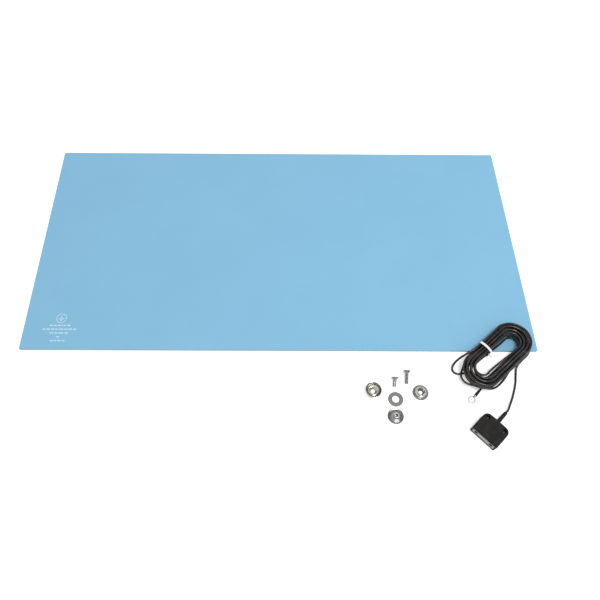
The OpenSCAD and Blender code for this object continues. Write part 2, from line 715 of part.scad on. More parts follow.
// countersunk screw lying on its head's rim and its tip, with a cross slot in its head
thread_rise = 0.2;
thread_half = 0.3;    // half the width of one thread
thread_pitch = 0.8;
head_rim_h = 0.5;
cross_slot = [4, 0.8, 2.4];
module screw(place, turn, length) {
    core_d = screw_d - 2 * thread_rise;
    head_h = (screw_head_d - screw_d) / 2;
    lean = asin((screw_head_d - screw_d) / 2 / length);
    thread_from = head_rim_h + head_h + thread_half;
    threads = floor((length - thread_from - thread_half) / thread_pitch);
    translate([place[0], place[1], 0]) rotate([0, 0, turn])
        translate([0, 0, screw_head_d / 2 * cos(lean) + 0.02]) rotate([0, 90 + lean, 0]) difference() {
            union() {
                cylinder(h = head_rim_h, d = screw_head_d);
                translate([0, 0, head_rim_h]) cylinder(h = head_h, d1 = screw_head_d, d2 = core_d);
                translate([0, 0, head_rim_h]) cylinder(h = length - head_rim_h - thread_half, d = core_d);
                for (i = [0 : threads - 1]) translate([0, 0, thread_from + i * thread_pitch]) {
                    cylinder(h = thread_half, d1 = core_d, d2 = screw_d);
                    translate([0, 0, thread_half]) cylinder(h = thread_half, d1 = screw_d, d2 = core_d);
                }
                translate([0, 0, length - thread_half])
                    cylinder(h = thread_half, d1 = core_d, d2 = core_d - 2 * thread_half);
            }
            for (a = [0, 90]) rotate([0, 0, a + 45]) cube(cross_slot, center = true);
        }
}

module short_screw() { color("silver") screw(short_at, short_turn, short_len); }
module long_screw() { color("silver") screw(long_at, long_turn, long_len); }

mat_top_layer();
mat_core_layer();
mat_base_layer();
mat_print();
block_base();
block_cover();
jack_panel();
banana_jack_left();
banana_jack_right();
jack_nuts();
bus_bar();
resistor();
solder_tag();
wire_crimp();
cover_screws();
snap_socket();
snap_spring();
strain_relief();
cord_lead();
cord_hank();
cord_tail();
twist_tie();
ring_sleeve();
ring_terminal();
socket_cup();
slotted_stud();
flat_washer();
base_nut();
short_screw();
long_screw();
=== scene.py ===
"""Bench-mat grounding kit: a layered mat, a common-point block on its tied cord, and loose snap hardware."""
import logging
import math
from dataclasses import dataclass, replace
from enum import Enum
from typing import Any, Callable, Iterable, Self, Sequence

import bmesh
import bpy
from mathutils import Matrix, Vector


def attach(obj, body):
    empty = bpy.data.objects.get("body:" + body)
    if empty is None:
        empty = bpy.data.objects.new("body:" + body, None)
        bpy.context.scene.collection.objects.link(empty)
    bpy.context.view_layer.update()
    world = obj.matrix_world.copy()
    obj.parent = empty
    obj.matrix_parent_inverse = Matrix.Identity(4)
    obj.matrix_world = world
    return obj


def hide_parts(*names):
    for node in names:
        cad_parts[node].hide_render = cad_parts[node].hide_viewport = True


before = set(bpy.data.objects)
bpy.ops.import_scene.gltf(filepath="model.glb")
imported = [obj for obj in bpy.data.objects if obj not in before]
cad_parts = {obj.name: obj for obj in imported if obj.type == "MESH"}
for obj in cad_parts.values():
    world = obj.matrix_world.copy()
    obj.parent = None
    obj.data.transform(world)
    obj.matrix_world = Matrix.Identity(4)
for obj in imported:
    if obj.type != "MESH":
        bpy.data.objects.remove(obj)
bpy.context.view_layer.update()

log = logging.getLogger("grounding_kit")
MM = 0.001
Point = Sequence[float]
Colour = tuple[float, float, float, float]


# ---------------------------------------------------------------- places


def shift(x: float = 0.0, y: float = 0.0, z: float = 0.0) -> Matrix:
    """A move, in millimetres."""
    return Matrix.Translation((x, y, z))


def swing(degrees: float, axis: str = "Z") -> Matrix:
    """A turn about an axis through the origin."""
    return Matrix.Rotation(math.radians(degrees), 4, axis)


def plan_turned(x: float, y: float, degrees: float) -> tuple[float, float]:
    """A point of the plan, turned about the origin."""
    c, s = math.cos(math.radians(degrees)), math.sin(math.radians(degrees))
    return x * c - y * s, x * s + y * c


@dataclass(frozen=True)
class Spot:
    """A place on the bench in millimetres, with a turn about Z in degrees."""

    x: float = 0.0
    y: float = 0.0
    turn: float = 0.0
    z: float = 0.0

    @property
    def matrix(self) -> Matrix:
        """The move and turn that bring a piece there."""
        return shift(self.x, self.y, self.z) @ swing(self.turn)

    @property
    def point(self) -> Vector:
        """The place alone."""
        return Vector((self.x, self.y, self.z))

    def ahead(self, x: float, y: float, z: float = 0.0) -> "Spot":
        """A place that is given in this one's own frame."""
        east, north = plan_turned(x, y, self.turn)
        return Spot(self.x + east, self.y + north, self.turn, self.z + z)


HERE = Spot()
STILL = Matrix()
BLOCK_SPOT = Spot(230.5, -248.0, -46.5)
RING_SPOT = Spot(218.0, -211.5, 46.0)
UPRIGHT = swing(90, "X")
TO_Y = swing(-90, "X")
TO_X = swing(90, "Y")
TO_YZ = Matrix(((0, 0, 1, 0), (1, 0, 0, 0), (0, 1, 0, 0), (0, 0, 0, 1)))


# ---------------------------------------------------------------- shader maths


def tone(red: int, green: int, blue: int) -> Colour:
    """Turns a display colour into the linear colour that a shader takes.

    Args:
        red: Red, 0 to 255.
        green: Green, 0 to 255.
        blue: Blue, 0 to 255.

    Returns:
        The linear colour with an alpha of 1.
    """
    def linear(value: int) -> float:
        """One channel, by the sRGB curve."""
        share = value / 255
        return share / 12.92 if share <= 0.04045 else ((share + 0.055) / 1.055) ** 2.4

    return (linear(red), linear(green), linear(blue), 1.0)


class Signal:
    """A shader socket that takes part in Python arithmetic; each operation adds a Math node."""

    def __init__(self, nodes: "Nodes", socket: bpy.types.NodeSocket | None) -> None:
        """Wraps one output socket of a node tree."""
        self.nodes = nodes
        self.socket = socket

    def _math(self, operation: str, *values: Any) -> "Signal":
        """Adds one Math node on numbers or signals."""
        return self.nodes.node("ShaderNodeMath", {"operation": operation}, dict(enumerate(values)))

    def __add__(self, other: Any) -> "Signal":
        """self + other."""
        return self._math("ADD", self, other)

    __radd__ = __add__

    def __sub__(self, other: Any) -> "Signal":
        """self - other."""
        return self._math("SUBTRACT", self, other)

    def __rsub__(self, other: Any) -> "Signal":
        """other - self."""
        return self._math("SUBTRACT", other, self)

    def __mul__(self, other: Any) -> "Signal":
        """self * other."""
        return self._math("MULTIPLY", self, other)

    __rmul__ = __mul__

    def __truediv__(self, other: Any) -> "Signal":
        """self / other."""
        return self._math("DIVIDE", self, other)

    def __rtruediv__(self, other: Any) -> "Signal":
        """other / self."""
        return self._math("DIVIDE", other, self)

    def power(self, exponent: float) -> "Signal":
        """self raised to the exponent."""
        return self._math("POWER", self, exponent)

    def magnitude(self) -> "Signal":
        """Absolute value."""
        return self._math("ABSOLUTE", self)

    def either(self, other: "Signal") -> "Signal":
        """The larger of the two."""
        return self._math("MAXIMUM", self, other)

    def ramp(self, low: float, high: float) -> "Signal":
        """Smooth step.

        Args:
            low: Value that gives 0.
            high: Value that gives 1; below low, the step falls.

        Returns:
            The step, from 0 to 1.
        """
        if low > high:
            return 1.0 - self.ramp(high, low)
        return self.nodes.node("ShaderNodeMapRange", {"interpolation_type": "SMOOTHSTEP"},
                               {"Value": self, "From Min": low, "From Max": high})


class Nodes:
    """Node tree of a material or of the world."""

    def __init__(self, owner: bpy.types.Material | bpy.types.World) -> None:
        """Empties the owner's node tree.

        Args:
            owner: The material or the world.
        """
        owner.use_nodes = True
        self.tree = owner.node_tree
        self.tree.nodes.clear()

    def feed(self, socket: bpy.types.NodeSocket, value: Any) -> None:
        """Links a signal to an input socket, or sets the socket to a value.

        Args:
            socket: The input socket.
            value: The signal or the value.
        """
        if isinstance(value, Signal):
            self.tree.links.new(value.socket, socket)
        else:
            socket.default_value = value

    def node(self, kind: str, settings: dict[str, Any] | None = None,
             inputs: dict[Any, Any] | None = None, output: int | str = 0) -> Signal:
        """Adds a node.

        Args:
            kind: The node's type.
            settings: Its properties, set before its sockets.
            inputs: Values or signals by socket name or number.
            output: The output that is wanted.

        Returns:
            That output as a signal.
        """
        made = self.tree.nodes.new(kind)
        for key, value in (settings or {}).items():
            setattr(made, key, value)
        for key, value in (inputs or {}).items():
            self.feed(made.inputs[key], value)
        return Signal(self, made.outputs[output] if made.outputs else None)

    def glow(self, kind: str, strength: float) -> Signal:
        """White light of a strength: an emission or a background."""
        return self.node(kind, None, {"Color": (1, 1, 1, 1), "Strength": strength})

    def seen(self, other: Signal, shown: Signal) -> Signal:
        """Shader that camera, glossy and transmission rays find instead of another one.

        Args:
            other: Shader for every other ray.
            shown: Shader for those three.

        Returns:
            The mixed shader.
        """
        camera, glossy, through = (self.node("ShaderNodeLightPath", output=f"Is {name} Ray")
                                   for name in ("Camera", "Glossy", "Transmission"))
        return self.node("ShaderNodeMixShader", None,
                         {0: camera.either(glossy).either(through), 1: other, 2: shown})


class Recipe(Nodes):
    """Node material round one Principled shader."""

    # A Mix node's sockets for colours: factor, first colour, second colour, and the result.
    SHARE, LOW, HIGH, RESULT = 0, 6, 7, 2

    def __init__(self, name: str) -> None:
        """Starts a material with its Principled shader.

        Args:
            name: The material's name.
        """
        self.material = bpy.data.materials.new(name)
        super().__init__(self.material)
        self.body = self.node("ShaderNodeBsdfPrincipled")

    def place(self, spot: Spot = HERE, stretch: Point | None = None) -> Signal:
        """Object coordinates, moved and turned to a piece's own frame.

        Args:
            spot: The piece's place.
            stretch: Scale of the pattern along each axis, where it isn't even.

        Returns:
            The coordinates, in metres times stretch.
        """
        here = self.node("ShaderNodeTexCoord", output="Object")
        moved = self.node("ShaderNodeMapping", {"vector_type": "TEXTURE"},
                          {"Vector": here, "Location": spot.point * MM,
                           "Rotation": (0, 0, math.radians(spot.turn))})
        return moved if stretch is None else self.stretched(moved, stretch)

    def stretched(self, where: Signal, scale: Point) -> Signal:
        """Coordinates times a scale."""
        return self.node("ShaderNodeMapping", {"vector_type": "POINT"}, {"Vector": where, "Scale": scale})

    def part(self, where: Signal, axis: str) -> Signal:
        """One component of coordinates in metres, in millimetres."""
        return self.node("ShaderNodeSeparateXYZ", None, {0: where}, axis) / MM

    def noise(self, where: Signal, size: float, detail: float = 2.0, rough: float = 0.5) -> Signal:
        """Noise of about the given size.

        Args:
            where: Coordinates in metres.
            size: Size of its blotches, in millimetres.
            detail: Octaves.
            rough: Weight of the fine octaves.

        Returns:
            Values round 0.5.
        """
        return self.node("ShaderNodeTexNoise", None,
                         {"Vector": where, "Scale": 1 / MM / size, "Detail": detail, "Roughness": rough})

    def cells(self, where: Signal, size: float) -> Signal:
        """Distance to the centres of cells of the given size, in millimetres."""
        return self.node("ShaderNodeTexVoronoi", None, {"Vector": where, "Scale": 1 / MM / size})

    def mix(self, share: Signal, low: Any, high: Any) -> Signal:
        """Colour between two colours."""
        return self.node("ShaderNodeMix", {"data_type": "RGBA"},
                         {self.SHARE: share, self.LOW: low, self.HIGH: high}, self.RESULT)

    def bump(self, height: Signal, depth: float, strength: float = 1.0) -> Signal:
        """Bump of a height from 0 to 1, whose full depth is given in millimetres."""
        return self.node("ShaderNodeBump", None,
                         {"Height": height, "Strength": strength, "Distance": depth * MM})

    def coat(self, **sockets: Any) -> Signal:
        """Sets the Principled shader's sockets.

        Args:
            **sockets: Values or signals, by socket name with _ for a space.

        Returns:
            The shader.
        """
        for key, value in sockets.items():
            self.feed(self.body.socket.node.inputs[key.replace("_", " ")], value)
        return self.body

    def shown(self, shader: Signal) -> bpy.types.Material:
        """Puts a shader on the surface and gives the finished material."""
        self.node("ShaderNodeOutputMaterial", None, {"Surface": shader})
        return self.material

    def finish(self, **sockets: Any) -> bpy.types.Material:
        """The finished material, with its shader's sockets set as in coat."""
        return self.shown(self.coat(**sockets))


# ---------------------------------------------------------------- finishes


class Finish:
    """What a piece can be dressed in."""

    def material(self) -> bpy.types.Material:
        """Builds the node material."""
        raise NotImplementedError


@dataclass(frozen=True)
class Vinyl(Finish):
    """Matt coloured vinyl with a fine embossed grain."""

    colour: Colour = tone(133, 187, 218)
    shade: Colour = tone(130, 184, 215)
    edge: Colour = tone(162, 184, 194)
    edge_z: tuple[float, float] = (3.16, 3.0)
    grain: float = 0.55
    roughness: float = 0.62

    def material(self) -> bpy.types.Material:
        """Builds the node material.

        Returns:
            The material.
        """
        recipe = Recipe("mat_vinyl")
        here = recipe.place()
        blotch = recipe.noise(here, size=90, detail=3, rough=0.55)
        fleck = recipe.noise(here, size=1.4, rough=0.6)
        lit = (blotch * 0.8 + fleck * 0.35 - 0.08).ramp(0.3, 0.75)
        side = recipe.part(here, "Z").ramp(*self.edge_z)
        pebbles = recipe.cells(here, size=self.grain * 2.2)
        grain = recipe.noise(here, size=self.grain, detail=3, rough=0.6) + 0.5 * pebbles
        return recipe.finish(
            Base_Color=recipe.mix(side, recipe.mix(lit, self.shade, self.colour), self.edge),
            Roughness=self.roughness + 0.1 * (fleck - 0.5), Specular_IOR_Level=0.3,
            Normal=recipe.bump(grain, depth=0.025, strength=0.6))


@dataclass(frozen=True)
class Foam(Finish):
    """Closed-cell foam whose cut edge shows its cells."""

    colour: Colour = tone(204, 209, 208)
    pore: Colour = tone(184, 191, 192)
    cell: float = 0.35

    def material(self) -> bpy.types.Material:
        """Builds the node material.

        Returns:
            The material.
        """
        recipe = Recipe("mat_foam")
        here = recipe.place()
        cells = recipe.cells(here, size=self.cell).ramp(0.0, 0.55)
        soft = recipe.noise(here, size=4, detail=3)
        return recipe.finish(
            Base_Color=recipe.mix(cells * (0.7 + 0.5 * soft), self.pore, self.colour),
            Roughness=0.88 - 0.1 * soft, Specular_IOR_Level=0.25, Normal=recipe.bump(cells, depth=0.08))


@dataclass(frozen=True)
class Rubber(Finish):
    """Dark conductive sheet between the foam and the vinyl."""

    colour: Colour = tone(112, 118, 122)
    dark: Colour = tone(88, 94, 98)

    def material(self) -> bpy.types.Material:
        """Builds the node material.

        Returns:
            The material.
        """
        recipe = Recipe("mat_core")
        fleck = recipe.noise(recipe.place(), size=0.4, detail=3, rough=0.7)
        return recipe.finish(Base_Color=recipe.mix(fleck, self.dark, self.colour),
                             Roughness=0.7 + 0.15 * (fleck - 0.5), Normal=recipe.bump(fleck, depth=0.03))


@dataclass(frozen=True)
class Ink(Finish):
    """Screen-printed ink, a little uneven, thin enough for the vinyl to tint it."""

    colour: Colour = tone(196, 228, 245)
    thin: Colour = tone(160, 207, 234)

    def material(self) -> bpy.types.Material:
        """Builds the node material.

        Returns:
            The material.
        """
        recipe = Recipe("white_ink")
        here = recipe.place()
        body = recipe.noise(here, size=0.9, detail=3, rough=0.65)
        return recipe.finish(
            Base_Color=recipe.mix(body.ramp(0.32, 0.6), self.thin, self.colour),
            Roughness=0.5 + 0.2 * body, Normal=recipe.bump(recipe.noise(here, size=0.3), depth=0.02))


@dataclass(frozen=True)
class Jacket(Finish):
    """Black cord jacket: smooth, with faint streaks drawn along it that are partly dust and partly painted
    highlight, in brown and grey.
    """

    colour: Colour = tone(8, 7, 7)
    brown: Colour = tone(66, 46, 39)
    grey: Colour = tone(62, 62, 58)
    streaks: tuple[float, float, float] = (140, 9, 1)

    def material(self) -> bpy.types.Material:
        """Builds the node material.

        Returns:
            The material.
        """
        recipe = Recipe("cord_jacket")
        along = recipe.stretched(recipe.node("ShaderNodeTexCoord", output="UV"), self.streaks)
        streak = recipe.node("ShaderNodeTexNoise", None, {"Vector": along, "Scale": 1.0, "Detail": 3.0})
        here = recipe.place()
        cloud = recipe.noise(here, size=14, detail=3, rough=0.55)
        fine = recipe.noise(here, size=0.5, rough=0.6)
        # Partly dust, partly painted highlight: brown and grey patches and streaks on the black stand in for
        # the sheen along the strands.
        dust_and_sheen = 0.75 * (cloud * 0.75 + streak * 0.45).ramp(0.56, 0.78)
        dust_and_sheen_tint = recipe.mix(recipe.noise(here, size=50, detail=1).ramp(0.42, 0.58), self.brown, self.grey)
        return recipe.finish(
            Base_Color=recipe.mix(dust_and_sheen, self.colour, dust_and_sheen_tint),
            Roughness=0.16 + 0.15 * (streak - 0.4) + 0.08 * fine, Specular_IOR_Level=0.45,
            Normal=recipe.bump(fine * 0.5 + streak * 0.5, depth=0.03, strength=0.7))


@dataclass(frozen=True)
class Strap(Finish):
    """White plastic twist tie over its wire."""

    colour: Colour = tone(240, 241, 240)
    shade: Colour = tone(218, 219, 220)

    def material(self) -> bpy.types.Material:
        """Builds the node material.

        Returns:
            The material.
        """
        recipe = Recipe("tie_white")
        crease = recipe.noise(recipe.place(), size=0.7, detail=3, rough=0.6)
        return recipe.finish(Base_Color=recipe.mix(crease, self.shade, self.colour),
                             Roughness=0.42 + 0.15 * crease, Normal=recipe.bump(crease, depth=0.05))


@dataclass(frozen=True)
class Banded(Finish):
    """Resistor body with colour bands round it."""

    spot: Spot
    body: Colour = tone(196, 172, 132)
    shade: Colour = tone(178, 152, 112)
    bands: tuple[tuple[float, Colour], ...] = (
        (-1.5, tone(96, 58, 34)), (-0.6, tone(24, 24, 26)), (0.2, tone(40, 128, 60)),
        (1.4, tone(170, 140, 60)))
    band_edge: tuple[float, float] = (0.24, 0.2)

    def material(self) -> bpy.types.Material:
        """Builds the node material.

        Returns:
            The material.
        """
        recipe = Recipe("resistor_body")
        here = recipe.place(self.spot)
        along = recipe.part(here, "Y")
        colour = recipe.mix(recipe.noise(here, size=0.6), self.body, self.shade)
        for place, band in self.bands:
            colour = recipe.mix((along - place).magnitude().ramp(*self.band_edge), colour, band)
        return recipe.finish(Base_Color=colour, Roughness=0.35 + 0.1 * recipe.noise(here, size=1))


@dataclass(frozen=True)
class Patterned(Finish):
    """A finish in two colours whose pattern sits in its piece's own frame."""

    name: str
    colour: Colour
    worn_and_painted_light: Colour
    roughness: float
    spot: Spot = HERE

    def at(self, spot: Spot, mark: str = "") -> Self:
        """The same finish for a piece at a place, with a mark added to its name."""
        return replace(self, spot=spot, name=self.name + mark)


@dataclass(frozen=True)
class Plastic(Patterned):
    """Moulded plastic with a fine spark-eroded texture and scuffs, and painted highlight that lightens it
    between two heights and above them, on the top and its rounded rim.
    """

    texture: float = 0.25
    relief: float = 0.03
    shine: float = 0.12
    patchy: float = 0.22
    rim: tuple[float, float] | None = None
    scuff_turn: float = 24.0
    scuff_stretch: tuple[float, float, float] = (1, 9, 1)

    def material(self) -> bpy.types.Material:
        """Builds the node material.

        Returns:
            The material.
        """
        recipe = Recipe(self.name)
        here = recipe.place(self.spot)
        fine = recipe.noise(here, size=self.texture, detail=3, rough=0.65)
        cloud = recipe.noise(here, size=7, detail=3)
        askew = replace(self.spot, turn=self.spot.turn + self.scuff_turn)
        scratched = recipe.place(askew, self.scuff_stretch)
        scuff = recipe.noise(scratched, size=5, detail=4, rough=0.7).ramp(0.62, 0.76)
        wear_and_painted_highlight = self.patchy * cloud.ramp(0.36, 0.66) + 0.3 * scuff * cloud + 0.18 * fine
        # Painted highlight: from the first rim height up, the colour goes towards the lighter second tone, so
        # the top and its rounded rim look lit.
        if self.rim:
            wear_and_painted_highlight = wear_and_painted_highlight + 0.4 * recipe.part(here, "Z").ramp(*self.rim)
        return recipe.finish(
            Base_Color=recipe.mix(wear_and_painted_highlight, self.colour, self.worn_and_painted_light), Specular_IOR_Level=self.shine,
            Roughness=self.roughness + 0.12 * (cloud - 0.5) - 0.08 * scuff,
            Normal=recipe.bump(fine, self.relief, strength=0.8))


class Lay(Enum):
    """How the marks of a metal piece's making run: round its axis, or straight, with their stretch."""

    TURNED = None
    ROLLED = (0.08, 1, 1)
    DRAWN = (0.15, 1, 1)


@dataclass(frozen=True)
class Metal(Patterned):
    """Plated or bare metal with making marks, stains and small dents, and painted shade that fades in between
    two heights towards its lower parts.
    """

    lay: Lay = Lay.TURNED
    pitch: float = 0.22
    painted_shade_depth: float = 0.6
    painted_shade_heights: tuple[float, float] | None = None

    def _marks(self, recipe: Recipe, here: Signal) -> Signal:
        """Making marks.

        Args:
            recipe: The material in the making.
            here: Coordinates in the piece's own frame.

        Returns:
            The marks, from 0 to 1.
        """
        if self.lay is not Lay.TURNED:
            drawn = recipe.place(self.spot, self.lay.value)
            return recipe.noise(drawn, size=self.pitch * 1.6, detail=3, rough=0.6)
        east, north, up = (recipe.part(here, axis) for axis in "XYZ")
        radius = (east * east + north * north).power(0.5)
        ring = (radius + up) / self.pitch + 0.6 * recipe.noise(here, size=3)
        return recipe.node("ShaderNodeTexNoise", {"noise_dimensions": "1D"},
                           {"W": ring, "Scale": 1.0, "Detail": 2.0})

    def material(self) -> bpy.types.Material:
        """Builds the node material.

        Returns:
            The material.
        """
        recipe = Recipe(self.name)
        here = recipe.place(self.spot)
        marks = self._marks(recipe, here)
        cloud = recipe.noise(here, size=3.5, detail=4, rough=0.6)
        dents = recipe.noise(here, size=1.1)
        stain_and_painted_shade = 0.4 * cloud.ramp(0.42, 0.72) + 0.25 * marks
        # Painted shade: the colour goes towards the darker second tone from the first height down to the
        # second, and stays so below.
        if self.painted_shade_heights:
            stain_and_painted_shade = stain_and_painted_shade + self.painted_shade_depth * recipe.part(here, "Z").ramp(*self.painted_shade_heights)
        return recipe.finish(
            Base_Color=recipe.mix(stain_and_painted_shade, self.colour, self.worn_and_painted_light), Metallic=1.0,
            Roughness=self.roughness + 0.16 * (cloud - 0.5) + 0.12 * (marks - 0.5),
            Normal=recipe.bump(marks * 0.35 + dents, depth=0.02, strength=0.5))


# COVER_BLACK's rim heights paint its top and upper rounded edge lighter: painted highlight.
COVER_BLACK = Plastic("block_black", tone(11, 10, 10), tone(40, 37, 36), 0.4, texture=0.3, relief=0.04,
                      shine=0.08, patchy=0.5, rim=(10.4, 11.9))
BASE_BLACK = Plastic("block_black_base", tone(22, 21, 21), tone(58, 55, 54), 0.48, texture=0.3, relief=0.04)
PANEL_GREY = Plastic("panel_grey", tone(176, 176, 175), tone(140, 140, 140), 0.42, texture=0.35)
RELIEF_BLACK = Plastic("relief_black", tone(22, 21, 22), tone(60, 56, 56), 0.4)
SLEEVE_BLACK = Plastic("sleeve_black", tone(24, 23, 24), tone(60, 57, 57), 0.42)
JACK_METAL = Metal("jack_metal", tone(148, 146, 140), tone(84, 82, 78), 0.26, lay=Lay.DRAWN)
RING_TIN = Metal("tinned", tone(198, 199, 199), tone(150, 151, 151), 0.26)
INNER_TIN = Metal("tinned_inner", tone(205, 207, 207), tone(150, 151, 150), 0.34, lay=Lay.ROLLED)
INNER_NICKEL = Metal("nickel", tone(200, 199, 194), tone(140, 138, 132), 0.26)
BAR_BRASS = Metal("brass_bar", tone(196, 168, 104), tone(140, 112, 60), 0.3, lay=Lay.ROLLED)
SOCKET_NICKEL = Metal("nickel_socket", tone(176, 175, 170), tone(110, 108, 102), 0.2)
SPRING_STEEL = Metal("spring_steel", tone(150, 150, 148), tone(100, 98, 96), 0.24)
SCREW_BLACK = Metal("screw_black", tone(60, 60, 62), tone(30, 30, 32), 0.4)
CUP_NICKEL = Metal("nickel_cup", tone(196, 195, 188), tone(112, 110, 102), 0.15)
# STUD_NICKEL's heights darken its flange and shoulder: painted shade.
STUD_NICKEL = Metal("nickel_stud", tone(208, 208, 204), tone(96, 95, 90), 0.2, painted_shade_heights=(2.4, 1.4))
WASHER_ZINC = Metal("zinc_washer", tone(118, 118, 116), tone(84, 84, 82), 0.3)
# NUT_ZINC's heights darken its rim and cone: painted shade.
NUT_ZINC = Metal("zinc_nut", tone(172, 173, 170), tone(82, 83, 83), 0.24, pitch=0.3, painted_shade_heights=(2.4, 0.9))
SCREW_STEEL = Metal("screw_steel", tone(132, 132, 130), tone(84, 84, 82), 0.22, lay=Lay.DRAWN)


# ---------------------------------------------------------------- forms


class Form:
    """A mesh in the making, in millimetres in its own frame.

    Attributes:
        level: Heights that differ by less are one height.
        speck: Edges shorter than this are dissolved.
        weld: Points of a turned shape that are nearer than this are one point.
        flat: Angle, in degrees, up to which two faces of a carved form are one.
        crease: Angle, in degrees, over which an edge stays sharp.
    """

    level = 1e-6
    speck = 0.002
    weld = 0.0001
    flat = 0.5
    crease = 32.0

    def __init__(self, mesh: bpy.types.Mesh | None = None) -> None:
        """Starts an empty form, or takes over a mesh.

        Args:
            mesh: The mesh, which is removed.
        """
        self.bm = bmesh.new()
        if mesh:
            self.bm.from_mesh(mesh)
            bpy.data.meshes.remove(mesh)

    def outline(self, corners: Sequence[Point], radii: Sequence[float], z: float,
                segments: int = 8) -> "Form":
        """Adds a flat face with rounded corners.

        Args:
            corners: Its corners, anticlockwise.
            radii: The radius of each corner.
            z: Its height.
            segments: Segments of each rounded corner.

        Returns:
            This form.
        """
        verts = [self.bm.verts.new((x, y, z)) for x, y in corners]
        self.bm.faces.new(verts)
        for vert, radius in zip(verts, radii):
            bmesh.ops.bevel(self.bm, geom=[vert], offset=radius, offset_type="OFFSET", segments=segments,
                            profile=0.5, affect="VERTICES", material=-1)
        return self

    def plate(self, corners: Sequence[Point], radii: Sequence[float], low: float, high: float,
              segments: int = 8) -> "Form":
        """Adds a plate with rounded corners.

        Args:
            corners: Its outline's corners, anticlockwise.
            radii: The radius of each corner.
            low: Height of its underside.
            high: Height of its top.
            segments: Segments of each rounded corner.

        Returns:
            This form.
        """
        self.outline(corners, radii, low, segments)
        base = [f for f in self.bm.faces if all(abs(v.co.z - low) < self.level for v in f.verts)]
        self.raised(bmesh.ops.extrude_face_region(self.bm, geom=base)["geom"], high - low)
        return self.faced()

    def raised(self, grown: Sequence[Any], rise: float) -> None:
        """Moves the vertices of an extrusion up."""
        verts = [g for g in grown if isinstance(g, bmesh.types.BMVert)]
        bmesh.ops.translate(self.bm, verts=verts, vec=(0, 0, rise))

    def turned(self, profile: Sequence[Point], steps: int = 72) -> "Form":
        """Adds a turned shape.

        Args:
            profile: Radius and height of its half section's points, closed or with both ends on the axis.
            steps: Steps round the axis.

        Returns:
            This form.
        """
        verts = [self.bm.verts.new((r, 0, z)) for r, z in profile]
        edges = [self.bm.edges.new(pair) for pair in zip(verts, verts[1:])]
        if profile[0][0] > 0 or profile[-1][0] > 0:
            edges.append(self.bm.edges.new((verts[-1], verts[0])))
        bmesh.ops.spin(self.bm, geom=verts + edges, cent=(0, 0, 0), axis=(0, 0, 1), dvec=(0, 0, 0),
                       angle=2 * math.pi, steps=steps, use_merge=True)
        bmesh.ops.remove_doubles(self.bm, verts=self.bm.verts[:], dist=self.weld)
        return self.faced()

    def section(self, points: Sequence[Point]) -> "Form":
        """Adds a closed outline of edges.

        Args:
            points: Its points, in order.

        Returns:
            This form.
        """
        verts = [self.bm.verts.new(point) for point in points]
        for pair in zip(verts, verts[1:] + verts[:1]):
            self.bm.edges.new(pair)
        return self

    def wound(self, rise: float, turns: float, steps: int) -> "Form":
        """Winds the outline that it holds about Z, as a thread, a wire ring or a twisted strand.

        Args:
            rise: Rise of one turn.
            turns: Number of turns.
            steps: Steps in all.

        Returns:
            This form.
        """
        bmesh.ops.spin(self.bm, geom=self.bm.verts[:] + self.bm.edges[:], cent=(0, 0, 0), axis=(0, 0, 1),
                       dvec=(0, 0, rise * turns / steps), angle=2 * math.pi * turns, steps=steps)
        return self.closed()

    def run_out(self, root: float, rise: float, turns: float, share: float = 0.35,
                least: float = 0.1) -> "Form":
        """Sinks a wound thread into its root at both ends.

        Args:
            root: Radius of the root.
            rise: Rise of one turn.
            turns: Number of turns.
            share: Share of a turn in which the thread sinks.
            least: Share of its height that is left at its very end.

        Returns:
            This form.
        """
        for vert in self.bm.verts:
            turn = vert.co.z / rise
            radius = vert.co.xy.length
            height = min(max(min(turn, turns - turn) / share, least), 1.0)
            shrink = (root + (radius - root) * height) / radius
            vert.co.x *= shrink
            vert.co.y *= shrink
        return self

    def rod(self, radius: float, low: float, high: float, steps: int = 48) -> "Form":
        """Adds a rod about Z.

        Args:
            radius: Its radius.
            low: Height of its lower end.
            high: Height of its upper end.
            steps: Its sides.

        Returns:
            This form.
        """
        bmesh.ops.create_cone(self.bm, cap_ends=True, segments=steps, radius1=radius, radius2=radius,
                              depth=high - low, matrix=shift(z=(low + high) / 2))
        return self

    def brick(self, size: Point, centre: Point, turn: float = 0.0) -> "Form":
        """Adds a brick.

        Args:
            size: Its size along each axis.
            centre: Its middle.
            turn: Its turn about Z, in degrees.

        Returns:
            This form.
        """
        place = shift(*centre) @ swing(turn) @ Matrix.Diagonal((*size, 1))
        bmesh.ops.create_cube(self.bm, size=1.0, matrix=place)
        return self

    def add(self, other: "Form", matrix: Matrix = STILL) -> "Form":
        """Takes another form into this one.

        Args:
            other: The other form, which is used up.
            matrix: The move that brings it here.

        Returns:
            This form.
        """
        mesh = bpy.data.meshes.new("part")
        other.move(matrix).bm.to_mesh(mesh)
        other.bm.free()
        self.bm.from_mesh(mesh)
        bpy.data.meshes.remove(mesh)
        return self

    def move(self, matrix: Matrix) -> "Form":
        """Moves the whole form."""
        bmesh.ops.transform(self.bm, matrix=matrix, verts=self.bm.verts[:])
        return self

    def soften(self, amount: float, segments: int = 2, sharper: float = 30.0,
               where: Callable[[bmesh.types.BMEdge], bool] | None = None) -> "Form":
        """Rounds the edges that are sharper than an angle.

        Args:
            amount: Width of the rounding, in millimetres.
            segments: Its segments.
            sharper: The angle, in degrees.
            where: A further test of an edge.

        Returns:
            This form.
        """
        edges = [e for e in self.bm.edges if len(e.link_faces) == 2
                 and e.calc_face_angle(0.0) > math.radians(sharper) and (where is None or where(e))]
        bmesh.ops.bevel(self.bm, geom=edges, offset=amount, offset_type="OFFSET", segments=segments,
                        profile=0.5, affect="EDGES", clamp_overlap=True, material=-1)
        return self

    def faced(self) -> "Form":
        """Points all faces outwards."""
        bmesh.ops.recalc_face_normals(self.bm, faces=self.bm.faces[:])
        return self

